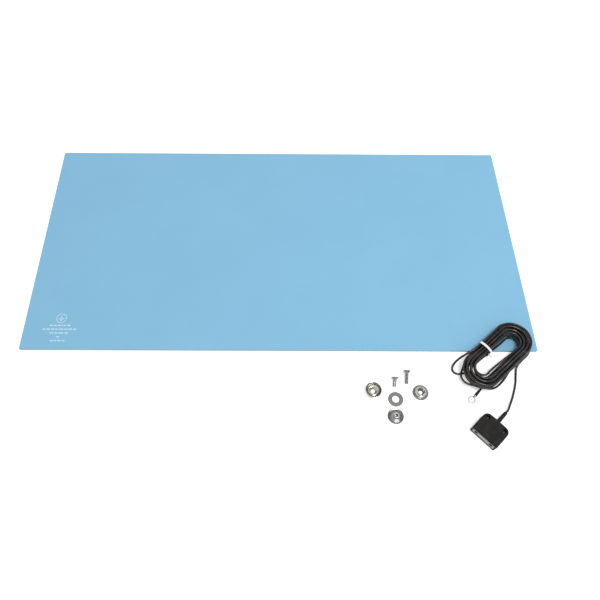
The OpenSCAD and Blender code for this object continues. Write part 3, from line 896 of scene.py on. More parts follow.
    def closed(self) -> "Form":
        """Caps open ends and points all faces outwards.

        Returns:
            This form.
        """
        rim = [e for e in self.bm.edges if len(e.link_faces) == 1]
        if rim:
            bmesh.ops.holes_fill(self.bm, edges=rim, sides=0)
        return self.faced()

    def carved(self, cuts: Iterable["Form"] = (), joins: Iterable["Form"] = ()) -> "Form":
        """Joins forms to this one and cuts others out of it; all are used up.

        Args:
            cuts: Forms to take away.
            joins: Forms to join first.

        Returns:
            The result, a new form.
        """
        thing = self._object("carved")
        tools = []
        for forms, operation in ((joins, "UNION"), (cuts, "DIFFERENCE")):
            for form in forms:
                tools.append(form._object("tool"))
                step = thing.modifiers.new("carve", "BOOLEAN")
                step.operation, step.solver, step.object = operation, "EXACT", tools[-1]
        bpy.context.view_layer.update()
        graph = bpy.context.evaluated_depsgraph_get()
        result = Form(bpy.data.meshes.new_from_object(thing.evaluated_get(graph)))
        for used in (thing, *tools):
            bpy.data.meshes.remove(used.data)
        return result

    def rounded(self, amount: float) -> "Form":
        """Merges what is flat in a carved form and rounds its sharp edges.

        Args:
            amount: Width of the rounding, in millimetres.

        Returns:
            This form.
        """
        bmesh.ops.remove_doubles(self.bm, verts=self.bm.verts[:], dist=0.1 * amount)
        bmesh.ops.dissolve_limit(self.bm, angle_limit=math.radians(self.flat), verts=self.bm.verts[:],
                                 edges=self.bm.edges[:])
        return self.soften(amount)

    def _object(self, name: str) -> bpy.types.Object:
        """Turns the form into an object without specks, which uses it up.

        Args:
            name: The object's name.

        Returns:
            The object.
        """
        bmesh.ops.dissolve_degenerate(self.bm, dist=self.speck, edges=self.bm.edges[:])
        mesh = bpy.data.meshes.new(name)
        self.bm.to_mesh(mesh)
        self.bm.free()
        thing = bpy.data.objects.new(name, mesh)
        bpy.context.scene.collection.objects.link(thing)
        return thing

    def made(self, name: str, matrix: Matrix) -> bpy.types.Object:
        """Finishes the form as an object in its place.

        Args:
            name: The piece's name.
            matrix: Its place, in millimetres.

        Returns:
            The object, at the origin, with its place in its mesh.
        """
        thing = self._object(name)
        mesh = thing.data
        mesh.transform(Matrix.Scale(MM, 4) @ matrix)
        mesh.polygons.foreach_set("use_smooth", [True] * len(mesh.polygons))
        mesh.set_sharp_from_angle(angle=math.radians(self.crease))
        thing.modifiers.new("flats", "WEIGHTED_NORMAL").keep_sharp = True
        return thing


class Body(Enum):
    """Bodies of the model that the pieces ride on."""

    MAT = "mat"
    CORD = "ground_cord"
    CUP = "cup"
    STUD = "stud"
    WASHER = "washer"
    NUT = "nut"
    SHORT = "screw_short"
    LONG = "screw_long"


def seat(piece: bpy.types.Object, body: Body, slot: str, finish: Finish, *nodes: str) -> bpy.types.Object:
    """Dresses a piece and ties it to its body.

    Args:
        piece: The piece.
        body: The body it rides on.
        slot: Its material slot in the record; not used.
        finish: What it is dressed in.
        *nodes: The solids it stands for.

    Returns:
        The piece.
    """
    piece.data.materials.append(finish.material())
    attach(piece, body.value)
    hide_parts(*nodes)
    log.info("%s rides on %s", piece.name, body.value)
    return piece


def dress(node: str, finish: Finish) -> None:
    """Gives a solid that stays in view its material.

    Args:
        node: The solid's name.
        finish: What it is dressed in.
    """
    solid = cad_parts[node]
    solid.data.materials.clear()
    solid.data.materials.append(finish.material())
    log.info("%s keeps its solid", node)


# ---------------------------------------------------------------- stage


@dataclass
class Stage:
    """White bench, plain soft light and the camera."""

    floor_size: float = 8.0
    floor_drop: float = 0.1
    floor_tones: tuple[Colour, Colour] = (tone(243, 243, 243), tone(246, 246, 246))
    floor_glow: float = 0.42
    fill: float = 0.64
    white: float = 1.0
    key_power: float = 18.5
    key_size: float = 0.5
    key_at: tuple[float, float, float] = (0.6, -0.35, 1.9)
    camera_at: tuple[float, float, float] = (-7.8, -415.9, 612.9)
    pitch: float = 61.55
    yaw: float = 0.63
    roll: float = 0.8
    lens: float = 33.81
    sensor: float = 36.0
    lens_shift: float = 0.041
    nearest: float = 0.01
    farthest: float = 50.0

    def build(self) -> None:
        """Builds the camera, the world, the lamp and the floor."""
        self._camera()
        self._world()
        self._lamp()
        self._floor()

    def _camera(self) -> None:
        """Puts the camera in its place."""
        pitch, yaw, roll = (math.radians(a) for a in (self.pitch, self.yaw, self.roll))
        ahead = Vector((math.sin(yaw) * math.cos(pitch), math.cos(yaw) * math.cos(pitch), -math.sin(pitch)))
        right = Vector((math.cos(yaw), -math.sin(yaw), 0))
        up = right.cross(ahead)
        c, s = math.cos(roll), math.sin(roll)
        right, up = right * c + up * s, up * c - right * s
        data = bpy.data.cameras.new("camera")
        data.lens, data.sensor_width, data.shift_x = self.lens, self.sensor, self.lens_shift
        data.clip_start, data.clip_end = self.nearest, self.farthest
        camera = bpy.data.objects.new("camera", data)
        turn = Matrix((right, up, -ahead)).transposed().to_4x4()
        camera.matrix_world = Matrix.Translation(Vector(self.camera_at) * MM) @ turn
        bpy.context.scene.collection.objects.link(camera)
        bpy.context.scene.camera = camera
        bpy.context.scene.view_settings.view_transform = "Standard"

    def _world(self) -> None:
        """White to look at and in reflections, a plain level for everything else."""
        world = bpy.data.worlds.new("studio")
        bpy.context.scene.world = world
        nodes = Nodes(world)
        fill, white = (nodes.glow("ShaderNodeBackground", level) for level in (self.fill, self.white))
        nodes.node("ShaderNodeOutputWorld", None, {"Surface": nodes.seen(fill, white)})

    def _lamp(self) -> None:
        """One soft box above the bench, to the right, that faces the middle of the mat."""
        data = bpy.data.lights.new("key", "AREA")
        data.shape, data.size, data.energy = "SQUARE", self.key_size, self.key_power
        lamp = bpy.data.objects.new("key", data)
        lamp.location = self.key_at
        lamp.rotation_euler = (-Vector(self.key_at)).to_track_quat("-Z", "Y").to_euler()
        bpy.context.scene.collection.objects.link(lamp)

    def _floor(self) -> None:
        """White floor that reads as background and keeps a soft shadow."""
        form = Form()
        bmesh.ops.create_grid(form.bm, x_segments=1, y_segments=1, size=self.floor_size / 2 / MM)
        floor = form.made("floor", shift(z=-self.floor_drop))
        recipe = Recipe("floor")
        cloud = recipe.noise(recipe.place(), size=400)
        surface = recipe.coat(Base_Color=recipe.mix(cloud, *self.floor_tones), Roughness=0.9,
                              Specular_IOR_Level=0.1)
        dark, glow = (recipe.glow("ShaderNodeEmission", level) for level in (0.0, self.floor_glow))
        both = recipe.node("ShaderNodeAddShader", None, {0: surface, 1: recipe.seen(dark, glow)})
        floor.data.materials.append(recipe.shown(both))


# ---------------------------------------------------------------- mat


@dataclass(frozen=True)
class Layer:
    """One layer of the mat: its names, its finish, and how far its rounded cut edge stands back."""

    piece: str
    slot: str
    node: str
    finish: Finish
    thickness: float
    inset: float
    rounding: float


@dataclass
class Mat:
    """The three-layer mat with its printed mark."""

    width: float = 610.0
    depth: float = 305.0
    corner: float = 1.5
    layers: tuple[Layer, ...] = (
        Layer("foam_layer", "mat_foam", "mat_base_layer", Foam(), thickness=1.8, inset=0.1, rounding=0.2),
        Layer("core_layer", "mat_core", "mat_core_layer", Rubber(), thickness=0.4, inset=0.15, rounding=0.05),
        Layer("vinyl_layer", "mat_vinyl", "mat_top_layer", Vinyl(), thickness=1.0, inset=0.0, rounding=0.22))

    @property
    def front_right(self) -> tuple[float, float]:
        """The mat's front right corner."""
        return self.width / 2, -self.depth / 2

    @property
    def thickness(self) -> float:
        """Thickness of all three layers."""
        return sum(layer.thickness for layer in self.layers)

    def build(self) -> None:
        """Builds and dresses the mat, from its lowest layer up."""
        low = 0.0
        for layer in self.layers:
            high = low + layer.thickness
            x, y = self.width / 2 - layer.inset, self.depth / 2 - layer.inset
            form = Form().plate([(-x, -y), (x, -y), (x, y), (-x, y)], [self.corner] * 4, low, high)
            form.soften(layer.rounding, 3,
                        where=lambda e: abs(e.verts[0].co.z - e.verts[1].co.z) < Form.level)
            seat(form.made(layer.piece, STILL), Body.MAT, layer.slot, layer.finish, layer.node)
            low = high
        dress("mat_print", Ink())


# ---------------------------------------------------------------- cord


def smooth(x: float) -> float:
    """Smooth step from 0 to 1."""
    k = min(max(x, 0.0), 1.0)
    return k * k * (3 - 2 * k)


def hump(x: float, middle: float, half: float) -> float:
    """Hump of height 1 round a middle."""
    return (1 + math.cos(math.pi * (x - middle) / half)) / 2 if abs(x - middle) < half else 0.0


def between(values: Sequence[float], s: float) -> float:
    """Value between two neighbours of a list."""
    i = min(int(math.floor(s)), len(values) - 2)
    return values[i] + (values[i + 1] - values[i]) * (s - i)


@dataclass
class Cord:
    """The ground cord: lead from the block, tied hank, and tail to the ring terminal.

    The hank is one path by turns. A turn is a loop of two runs and two half rounds, in the hank's own plan.
    Its loops go inwards in one layer and outwards in the next.

    Attributes:
        clear: Gap between the cord or the tie and what it lies on.
        step_from: Distance past the mat's front edge at which the loops start down to the bench.
        step_over: Distance over which they get there.
        tuck_at: The middle of the bend that rises over the end tucked under it, from the mat's corner.
        tuck_from: Distance from there up to which it stays up.
        tuck_over: Distance over which it comes down.
        wander_waves: Share, rate and phase of the waves of the sideways wander.
        strays: Turn, reach in turns and bulge of the loops that stand out.
        layer_turns_deg: Turn of each layer in the plan, in degrees.
        layer_slides: Slide of each layer along the runs.
        lead: Points from the block, from the mat's front right corner, with their height as a share of the
            way up to the relief.
        tail: Points to the ring terminal, with their height as a share of the way up to the hank's end.
    """

    mat: Mat
    diameter: float = 2.5
    run_length: float = 56.0
    run_shrink: float = 1.0
    bend_radius: float = 21.8
    loop_pitch: float = 3.5
    layers: int = 4
    layer_pitch: float = 3.1
    layer_climb: float = 0.5
    loop_rings: int = 24
    hank_rings: int = 347
    fineness: int = 6
    free_steps: int = 14
    centre: tuple[float, float] = (-52.0, -9.0)
    turn: float = 40.0
    clear: float = 0.1
    step_from: float = 9.0
    step_over: float = 22.0
    tuck_at: tuple[float, float] = (-82.0, -38.0)
    tuck_from: float = 13.0
    tuck_over: float = 22.0
    tuck_clear: float = 0.9
    wander_width: float = 0.42
    wander_waves: tuple[tuple[float, float, float], ...] = ((0.6, 9.1, 1.0), (0.4, 23.7, 0.0))
    wander_fade: float = 3.0
    tie_along: float = -5.0
    tie_lift: float = 0.75
    lift_half: float = 30.0
    lift_from: float = -2.0
    lift_over: float = 8.0
    relief_height: float = 5.6
    relief_reach: float = 29.05
    sleeve_end: float = 14.5
    sleeve_height: float = 1.8
    strays: tuple[tuple[float, float, float], ...] = (
        (0.265, 0.12, 5), (0.635, 0.08, 4.4), (0.855, 0.115, 5), (3.33, 0.16, -2), (10.86, 0.14, -2.4))
    layer_turns_deg: tuple[float, ...] = (0, 1.2, -0.8, 1.6, 1.6)
    layer_slides: tuple[float, ...] = (0, -0.6, 0.6, 0, 0)
    lead: tuple[tuple[float, float, float], ...] = (
        (-49.3, -71.3, 0.75), (-45.5, -65, 0.32), (-41.5, -58, 0.05), (-37, -48, 0), (-33.5, -38, 0),
        (-31.5, -29, 0), (-29.5, -21, 0))
    tail: tuple[tuple[float, float, float], ...] = (
        (-80, -3.6, 0.97), (-87.5, -7.2, 0.82), (-94.5, -10.8, 0.55), (-100.2, -15, 0.28),
        (-103.6, -19.8, 0.08), (-103.6, -24.4, 0), (-100, -27.8, 0), (-94.5, -28, 0), (-88.5, -26.6, 0),
        (-82.5, -27.6, 0), (-77, -31.5, 0), (-73.5, -36.5, 0), (-72.8, -42, 0))

    @property
    def radius(self) -> float:
        """Half the cord's diameter."""
        return self.diameter / 2

    @property
    def spot(self) -> Spot:
        """The hank's place."""
        east, south = self.mat.front_right
        return Spot(east + self.centre[0], south + self.centre[1], self.turn)

    @property
    def first_turn(self) -> float:
        """Turn where the hank begins."""
        return -0.5 / self.loop_rings

    @property
    def last_turn(self) -> float:
        """Turn where the hank ends."""
        return self.first_turn + self.hank_rings / self.loop_rings

    @property
    def layer_turns(self) -> float:
        """Turns in each layer."""
        return self.last_turn / self.layers

    @property
    def bundle_inside(self) -> float:
        """Radius of the innermost loop's bends."""
        return self.bend_radius - self.loop_pitch * self.layer_turns

    @property
    def tie_across(self) -> float:
        """The tie's place across the hank."""
        return (self.bend_radius + self.bundle_inside) / 2

    def bed(self, y: float) -> float:
        """Height of what the cord lies on: the mat, or the bench past its front edge."""
        past = self.mat.front_right[1] - y
        return (self.mat.thickness + self.clear) * (1 - smooth((past - self.step_from) / self.step_over))

    def tucked(self, x: float, y: float) -> float:
        """Rise of the lower left bend over the end that is tucked under it.

        Args:
            x: The point's place to the east.
            y: The point's place to the north.

        Returns:
            The rise.
        """
        east, south = self.mat.front_right
        away = math.hypot(x - (east + self.tuck_at[0]), y - (south + self.tuck_at[1]))
        return (self.diameter + self.tuck_clear) * (1 - smooth((away - self.tuck_from) / self.tuck_over))

    def inward(self, t: float) -> float:
        """Loops inside the outermost one, at a turn."""
        span = self.layer_turns
        return abs((max(t, 0.0) + span) % (2 * span) - span)

    def layer(self, t: float) -> float:
        """Layer at a turn, counted from 0."""
        climb = self.layer_climb
        return sum(smooth((t - k * self.layer_turns + climb / 2) / climb) for k in range(1, self.layers))

    def wander(self, t: float) -> float:
        """Small sideways wander that keeps the loops from lying quite parallel.

        Args:
            t: The turn.

        Returns:
            The wander, which dies out at the hank's ends.
        """
        ends = smooth(min(t - self.first_turn, self.last_turn - t) * self.wander_fade)
        waves = sum(share * math.sin(rate * t + phase) for share, rate, phase in self.wander_waves)
        return self.wander_width * ends * waves

    def loop_point(self, f: float, half: float, r: float) -> tuple[float, float]:
        """Point of one loop: two runs and two half rounds.

        Args:
            f: Share of the loop.
            half: Half its run.
            r: Radius of its bends.

        Returns:
            Along and across, in the hank's own plan.
        """
        if f < 1 / 3:
            a = math.radians(540 * f - 90)
            return half + r * math.cos(a), r * math.sin(a)
        if f < 1 / 2:
            return half * (5 - 12 * f), r
        if f < 5 / 6:
            a = math.radians(540 * f - 180)
            return -half + r * math.cos(a), r * math.sin(a)
        return half * (12 * f - 11), -r

    def hank_point(self, t: float) -> Vector:
        """Centre of the cord in the hank.

        Args:
            t: The turn.

        Returns:
            The point.
        """
        w, s = self.inward(t), self.layer(t)
        stray = sum(rise * hump(t, middle, half) for middle, half, rise in self.strays) + self.wander(t)
        u, v = self.loop_point(t - math.floor(t), self.run_length / 2 - self.run_shrink * w,
                               self.bend_radius - self.loop_pitch * w + stray)
        u, v = plan_turned(u - self.tie_along, v - self.tie_across, between(self.layer_turns_deg, s))
        u, v = u + self.tie_along + between(self.layer_slides, s), v + self.tie_across
        at = self.spot.ahead(u, v)
        lift = hump(u, self.tie_along, self.lift_half) * smooth((v - self.lift_from) / self.lift_over)
        height = self.bed(at.y) + self.tucked(at.x, at.y) + self.radius + self.layer_pitch * s
        return Vector((at.x, at.y, height + self.tie_lift * lift))

    def curve(self, points: Sequence[Vector]) -> list[Vector]:
        """Smooth curve through points, with its first and last stretches straight.

        Args:
            points: The route's points.

        Returns:
            The curve's points.
        """
        last = len(points) - 1
        out = [points[0]]
        for i in range(1, last - 1):
            a, b, c, d = points[i - 1:i + 3]
            for j in range(self.free_steps):
                k = j / self.free_steps
                out.append(0.5 * (2 * b + (c - a) * k + (2 * a - 5 * b + 4 * c - d) * k * k
                                  + (3 * b - a - 3 * c + d) * k ** 3))
        return out + [points[last - 1], points[last]]

    def in_block(self, along: float) -> Vector:
        """Point on the block's middle line, behind its centre, at the relief's height."""
        return BLOCK_SPOT.ahead(0, along, self.relief_height).point

    def at_ring(self, along: float) -> Vector:
        """Point on the ring terminal's line, at the sleeve's height."""
        return RING_SPOT.ahead(along, 0, self.sleeve_height).point

    def free(self, points: Sequence[Point], high: float) -> list[Vector]:
        """Points of the lead or the tail, whose heights are shares of the way up to a height.

        Args:
            points: The points.
            high: That height, over what the cord lies on.
        """
        east, south = self.mat.front_right
        lies = self.radius
        return [Vector((east + x, south + y, lies + share * (high - lies))) for x, y, share in points]

    def route(self) -> list[Vector]:
        """The whole cord's centreline, from the relief's tip to the sleeve.

        Returns:
            Its points.
        """
        rings, d = self.loop_rings, self.diameter
        outermost = (0, 1, self.hank_rings - 1, self.hank_rings)
        ends = [self.hank_point(self.first_turn + i / rings) for i in outermost]
        start, end = (ends[0] - ends[1]).normalized(), (ends[3] - ends[2]).normalized()
        count, fine = self.hank_rings * self.fineness, rings * self.fineness
        hank = [self.hank_point(self.first_turn + i / fine) for i in range(count + 1)]
        hank_start, hank_end = ends[0] + d * start, ends[3] + d * end
        lead = self.free(self.lead, self.relief_height)
        for point in lead:
            point.z += self.bed(point.y)
        lead = [self.in_block(self.relief_reach), self.in_block(self.relief_reach + d), *lead,
                hank_start + d * start, hank_start]
        tail = [hank_end, hank_end + d * end, *self.free(self.tail, hank_end.z),
                self.at_ring(self.sleeve_end + d), self.at_ring(self.sleeve_end)]
        return self.curve(lead) + hank + self.curve(tail)

    def build(self, with_pieces: Sequence[bpy.types.Object]) -> None:
        """Builds the cord.

        Args:
            with_pieces: The pieces on it; not used.
        """
        points = [p * MM for p in self.route()]
        data = bpy.data.curves.new("cord", "CURVE")
        data.dimensions, data.bevel_depth, data.bevel_resolution = "3D", self.radius * MM, 4
        data.use_fill_caps = True
        spline = data.splines.new("POLY")
        spline.points.add(len(points) - 1)
        for knot, place in zip(spline.points, points):
            knot.co = (*place, 1)
        spline.use_smooth = True
        thing = bpy.data.objects.new("ground_cord_jacket", data)
        bpy.context.scene.collection.objects.link(thing)
        seat(thing, Body.CORD, "cord_jacket", Jacket(), "cord_lead", "cord_hank", "cord_tail")
        log.info("cord: %.3f m", sum((b - a).length for a, b in zip(points, points[1:])))


@dataclass
class Tie:
    """White twist tie round the hank's upper run.

    Attributes:
        skin: Share of the thickness that the band has beside its wire.
        ridge: How far the band stands out over the wire.
        slack: Gap between the band and the bundle.
        bow: How far the band's upper side swings out sideways.
        end_half: Half sizes of the twisted end's section.
        end_in: How far the twisted end reaches into the band.
    """

    cord: Cord
    width: float = 2.8
    thickness: float = 0.55
    skin: float = 0.7
    ridge: float = 0.12
    slack: float = 0.35
    bow: float = 1.0
    corner: float = 2.0
    end_length: float = 4.5
    end_turns: float = 1.5
    end_half: tuple[float, float] = (0.85, 0.3)
    end_in: float = 0.3

    @property
    def low(self) -> float:
        """Height of the band's underside."""
        return self.cord.mat.thickness + self.cord.clear

    @property
    def tall(self) -> float:
        """Height of the band."""
        bundle = self.cord.tie_lift + (self.cord.layers - 1) * self.cord.layer_pitch + self.cord.diameter
        return bundle + self.slack / 2 + self.thickness

    @property
    def wide(self) -> float:
        """Width of the band across the hank."""
        bundle = self.cord.bend_radius - self.cord.bundle_inside + self.cord.diameter
        return bundle + 2 * self.slack + 2 * self.thickness

    def _band(self) -> Form:
        """Makes the band, with its width along Z.

        Returns:
            The band.
        """
        x, y = self.wide / 2, self.tall / 2
        band = Form().outline([(-x, -y), (x, -y), (x, y), (-x, y)], [self.corner] * 4, -self.width / 2, 6)
        bm = band.bm
        bmesh.ops.delete(bm, geom=bm.faces[:], context="FACES_ONLY")
        band.raised(bmesh.ops.extrude_edge_only(bm, edges=bm.edges[:])["geom"], self.width)
        across = [e for e in bm.edges if abs(e.verts[0].co.z - e.verts[1].co.z) > self.width / 2]
        bmesh.ops.subdivide_edges(bm, edges=across, cuts=3, use_grid_fill=True)
        along = [e for e in bm.edges if abs(e.verts[0].co.x - e.verts[1].co.x) > self.width]
        bmesh.ops.subdivide_edges(bm, edges=along, cuts=9, use_grid_fill=True)
        band.faced()
        bmesh.ops.solidify(bm, geom=bm.faces[:], thickness=self.thickness * self.skin)
        middle = [v for v in bm.verts if abs(v.co.z) < self.ridge]
        bmesh.ops.scale(bm, vec=(1 - self.ridge / self.wide, 1 - self.ridge / self.tall, 1), verts=middle)
        for vert in bm.verts:
            vert.co.z += self.bow * math.cos(math.pi * vert.co.x / self.wide) * vert.co.y / self.tall * 2
        return band.faced()

    def _twist(self) -> Form:
        """Makes the twisted end, along Z.

        Returns:
            The end.
        """
        x, y = self.end_half
        strand = Form().section([(-x, -y, 0), (x, -y, 0), (x, y, 0), (-x, y, 0)])
        return strand.wound(self.end_length / self.end_turns, self.end_turns, 36).soften(0.12)

    def build(self) -> bpy.types.Object:
        """Builds the tie.

        Returns:
            The tie.
        """
        band = self._band().add(self._twist(),
                                shift(self.end_in - self.wide / 2, -self.tall / 5) @ swing(-90, "Y"))
        middle = shift(self.cord.tie_along, self.cord.tie_across, self.low + self.tall / 2)
        piece = band.made("twist_tie_strap", self.cord.spot.matrix @ middle @ TO_YZ)
        return seat(piece, Body.CORD, "tie_white", Strap(), "twist_tie")


@dataclass
class Terminal:
    """Tinned ring terminal, crimped in its black sleeve at the cord's end, along X from its eye."""

    spot: Spot = RING_SPOT
    ring_d: float = 9.2
    bore_d: float = 5.3
    thickness: float = 0.8
    edge: float = 0.16
    neck: float = 3.0
    neck_under: float = 1.2
    barrel_d: float = 2.6
    barrel_from: float = 4.6
    barrel_in: float = 5.0
    sleeve_d: float = 3.4
    sleeve_from: float = 6.0
    sleeve_length: float = 8.5
    cord_hole: float = 1.25
    height: float = 1.8

    def _neck(self) -> Form:
        """Makes the flat neck from the ring to the sleeve.

        Returns:
            The neck.
        """
        start, end, half = self.ring_d / 2 - self.neck_under, self.sleeve_from - 0.1, self.neck / 2
        wide, slim = half + 0.3, half - 0.35
        return Form().plate([(start, -wide), (end, -slim), (end, slim), (start, wide)], [0.3, 0.1, 0.1, 0.3],
                            0.03, self.thickness - 0.04, 4).soften(self.edge)

    def _barrel(self) -> Form:
        """Makes the crimped barrel, along Z.

        Returns:
            The barrel.
        """
        r, length = self.barrel_d / 2, self.sleeve_from + self.barrel_in - self.barrel_from
        return Form().turned([(r - 0.35, 0), (r, 0.1), (r, length), (r - 0.4, length), (0, length), (0, 0.5),
                              (r - 0.45, 0.35)], 40).soften(0.08)

    def _lug(self) -> bpy.types.Object:
        """Makes the ring with its neck and barrel.

        Returns:
            The lug.
        """
        outer, inner, t = self.ring_d / 2, self.bore_d / 2, self.thickness
        lug = Form().turned([(inner, 0), (outer, 0), (outer, t), (inner, t)]).soften(self.edge)
        lug.add(self._neck())
        lug.add(self._barrel(), shift(self.barrel_from, 0, self.height) @ TO_X)
        lug.add(Form().brick((1.6, self.neck * 0.62, 0.7), (self.barrel_from + 0.7, 0, 0.75)).soften(0.2))
        piece = lug.made("ring_terminal_lug", self.spot.matrix)
        return seat(piece, Body.CORD, "tinned", RING_TIN.at(self.spot), "ring_terminal")

    def _sleeve(self) -> bpy.types.Object:
        """Makes the sleeve, which narrows over the cord.

        Returns:
            The sleeve.
        """
        r, s, end, cord = self.barrel_d / 2 + 0.05, self.sleeve_d / 2, self.sleeve_length, self.cord_hole
        sleeve = Form().turned([(r, 0), (s - 0.1, 0), (s, 0.4), (s - 0.12, 1.0), (s - 0.1, 5.0),
                                (s - 0.25, 5.8), (s - 0.22, end - 0.5), (s - 0.3, end), (cord, end),
                                (cord, 5.2), (r, 5.1)], 48).soften(0.1)
        place = self.spot.matrix @ shift(self.sleeve_from, 0, self.height) @ TO_X
        piece = sleeve.made("ring_terminal_sleeve", place)
        return seat(piece, Body.CORD, "sleeve_black", SLEEVE_BLACK, "ring_sleeve")

    def build(self) -> list[bpy.types.Object]:
        """Builds the terminal and its sleeve."""
        return [self._lug(), self._sleeve()]


# ---------------------------------------------------------------- block


@dataclass
class Block:
    """Common-point block: cover, base, light panel with two jacks, snap socket, relief and screws.

    Attributes:
        rim: Rounding of the cover's upper edge.
        play: Gap between the light panel and its window.
        past: How far a form that cuts reaches past what it cuts.
        screw_at: Place of the right cover screw, whose twin is its mirror image.
        foot_top: Height at which the base's feet meet the cover's bosses.
        spring_z: Height of the spring ring in its groove.
    """

    spot: Spot = BLOCK_SPOT
    width: float = 32.0
    depth: float = 26.0
    height: float = 12.0
    base: float = 2.0
    wall: float = 1.8
    shoulder: float = 6.5
    front_corner: float = 1.0
    rim: float = 1.3
    play: float = 0.1
    past: float = 1.0
    panel_w: float = 27.6
    panel_h: float = 6.4
    panel_t: float = 2.0
    jack_pitch: float = 19.0
    jack_d: float = 5.4
    bore_d: float = 4.0
    jack_length: float = 12.8
    jack_z: float = 5.9
    relief_z: float = 5.6
    relief_length: float = 16.0
    relief_d: float = 5.0
    relief_tip_d: float = 4.0
    ribs: int = 5
    groove: float = 0.8
    groove_depth: float = 0.3
    neck_hole_r: float = 2.2
    cord_r: float = 1.27
    screw_at: tuple[float, float] = (10.84, 7.84)
    screw_hole_r: float = 1.15
    boss_r: float = 3.0
    foot_r: float = 2.6
    foot_top: float = 6.2
    pocket_r: float = 2.3
    pocket_depth: float = 3.2
    snap_y: float = 3.6
    snap_bore_d: float = 10.1
    snap_depth: float = 3.6
    snap_wall: float = 1.55
    snap_flange: float = 2.45
    snap_hole_r: float = 6.7
    spring_z: float = 1.7
    spring_wire: float = 0.7
    spring_turn: float = 330.0
    resistor_at: tuple[float, float] = (-3.2, 3.6)

    @property
    def pocket(self) -> float:
        """Height of the floors of the screw pockets."""
        return self.height - self.pocket_depth

    @property
    def screw_moves(self) -> list[Matrix]:
        """Moves from the block's middle to its two cover screws."""
        return [shift(side * self.screw_at[0], self.screw_at[1]) for side in (-1, 1)]

    def _plan(self, inset: float) -> tuple[list[Point], list[float]]:
        """Outline of the block.

        Args:
            inset: How far it stands inside the block's sides.

        Returns:
            Corners and their radii.
        """
        x, y = self.width / 2 - inset, self.depth / 2 - inset
        front, back = max(self.front_corner - inset, 0.2), max(self.shoulder - inset, 0.5)
        return [(-x, -y), (x, -y), (x, y), (-x, y)], [front, front, back, back]

    def _cover(self) -> None:
        """Makes the hollow cover with its window, cord hole, screw pockets and bosses."""
        top, inside, past = self.height, self.height - self.wall, self.past
        shell = Form().plate(*self._plan(0), self.base, top, 12)
        shell.soften(self.rim, 1, where=lambda e: min(v.co.z for v in e.verts) > top - 0.01)
        hollow = Form().plate(*self._plan(self.wall), self.base - past, inside)
        deep = self.panel_t + self.play
        window = Form().brick((self.panel_w + 2 * self.play, deep + past, self.panel_h + 2 * self.play),
                              (0, -self.depth / 2 + (deep - past) / 2, self.jack_z))
        to_wall = shift(0, self.depth / 2 - self.wall - past, self.relief_z) @ TO_Y
        neck = Form().rod(self.neck_hole_r, 0, 5).move(to_wall)
        pockets = [Form().rod(self.pocket_r, self.pocket, top + past).move(to) for to in self.screw_moves]
        cover = shell.carved([hollow, window, neck, *pockets])
        hole, boss_top = self.screw_hole_r, inside + 0.2
        boss = [(hole, self.foot_top), (self.boss_r, self.foot_top), (self.boss_r, boss_top),
                (self.pocket_r, boss_top), (self.pocket_r, self.pocket), (hole, self.pocket)]
        for to in self.screw_moves:
            cover.add(Form().turned(boss, 48), to)
        piece = cover.rounded(0.16).made("block_cover_shell", self.spot.matrix)
        seat(piece, Body.CORD, "block_black", COVER_BLACK.at(self.spot), "block_cover")

    def _floor(self) -> None:
        """Makes the base plate with its hole for the snap socket and its two feet for the screws."""
        plate = Form().plate(*self._plan(0.08), 0, self.base - 0.05, 12)
        hole = Form().rod(self.snap_hole_r, -self.past, self.base + self.past, 64).move(shift(0, self.snap_y))
        feet = Form()
        for to in self.screw_moves:
            feet.add(Form().rod(self.foot_r, self.base - 0.5, self.foot_top), to)
        piece = plate.carved([hole], [feet]).rounded(0.2).made("block_base_plate", self.spot.matrix)
        seat(piece, Body.CORD, "block_black", BASE_BLACK, "block_base")

    def _front(self) -> None:
        """Makes the light panel and the two jacks in it."""
        x, z, t = self.panel_w / 2, self.panel_h / 2, self.panel_t
        r, bore, length, end = self.jack_d / 2, self.bore_d / 2, self.jack_length, self.jack_length + 1.6
        panel = Form().plate([(-x, -z), (x, -z), (x, z), (-x, z)], [0.5] * 4, 0, t, 4)
        holes = [Form().rod(r + 0.05, -self.past, t + self.past).move(shift(side * self.jack_pitch / 2))
                 for side in (-1, 1)]
        upright = shift(0, t - self.depth / 2, self.jack_z) @ UPRIGHT
        piece = panel.carved(holes).rounded(0.18).made("jack_panel_face", self.spot.matrix @ upright)
        seat(piece, Body.CORD, "panel_grey", PANEL_GREY, "jack_panel")
        drawn = replace(self.spot, turn=self.spot.turn + 90)
        for name, side in (("left", -1), ("right", 1)):
            tube = Form().turned([(bore, length - 1), (bore, 0.35), (bore + 0.3, 0), (r, 0), (r, length),
                                  (0.6, length), (0.6, end), (0, end), (0, length - 1)], 48).soften(0.12)
            to = shift(side * self.jack_pitch / 2, -self.depth / 2, self.jack_z) @ TO_Y
            jack = tube.made(f"banana_jack_{name}_tube", self.spot.matrix @ to)
            seat(jack, Body.CORD, "jack_metal", JACK_METAL.at(drawn, f"_{name}"), f"banana_jack_{name}")

    def _relief(self) -> bpy.types.Object:
        """Makes the ribbed strain relief with its neck and inner flange.

        Returns:
            The strain relief.
        """
        length, gap, pitch = self.relief_length, self.groove, self.relief_length / (self.ribs + 1)
        taper = (self.relief_d - self.relief_tip_d) / 2

        def outside(at: float) -> float:
            """Radius of the cone."""
            return self.relief_d / 2 - taper * at / length

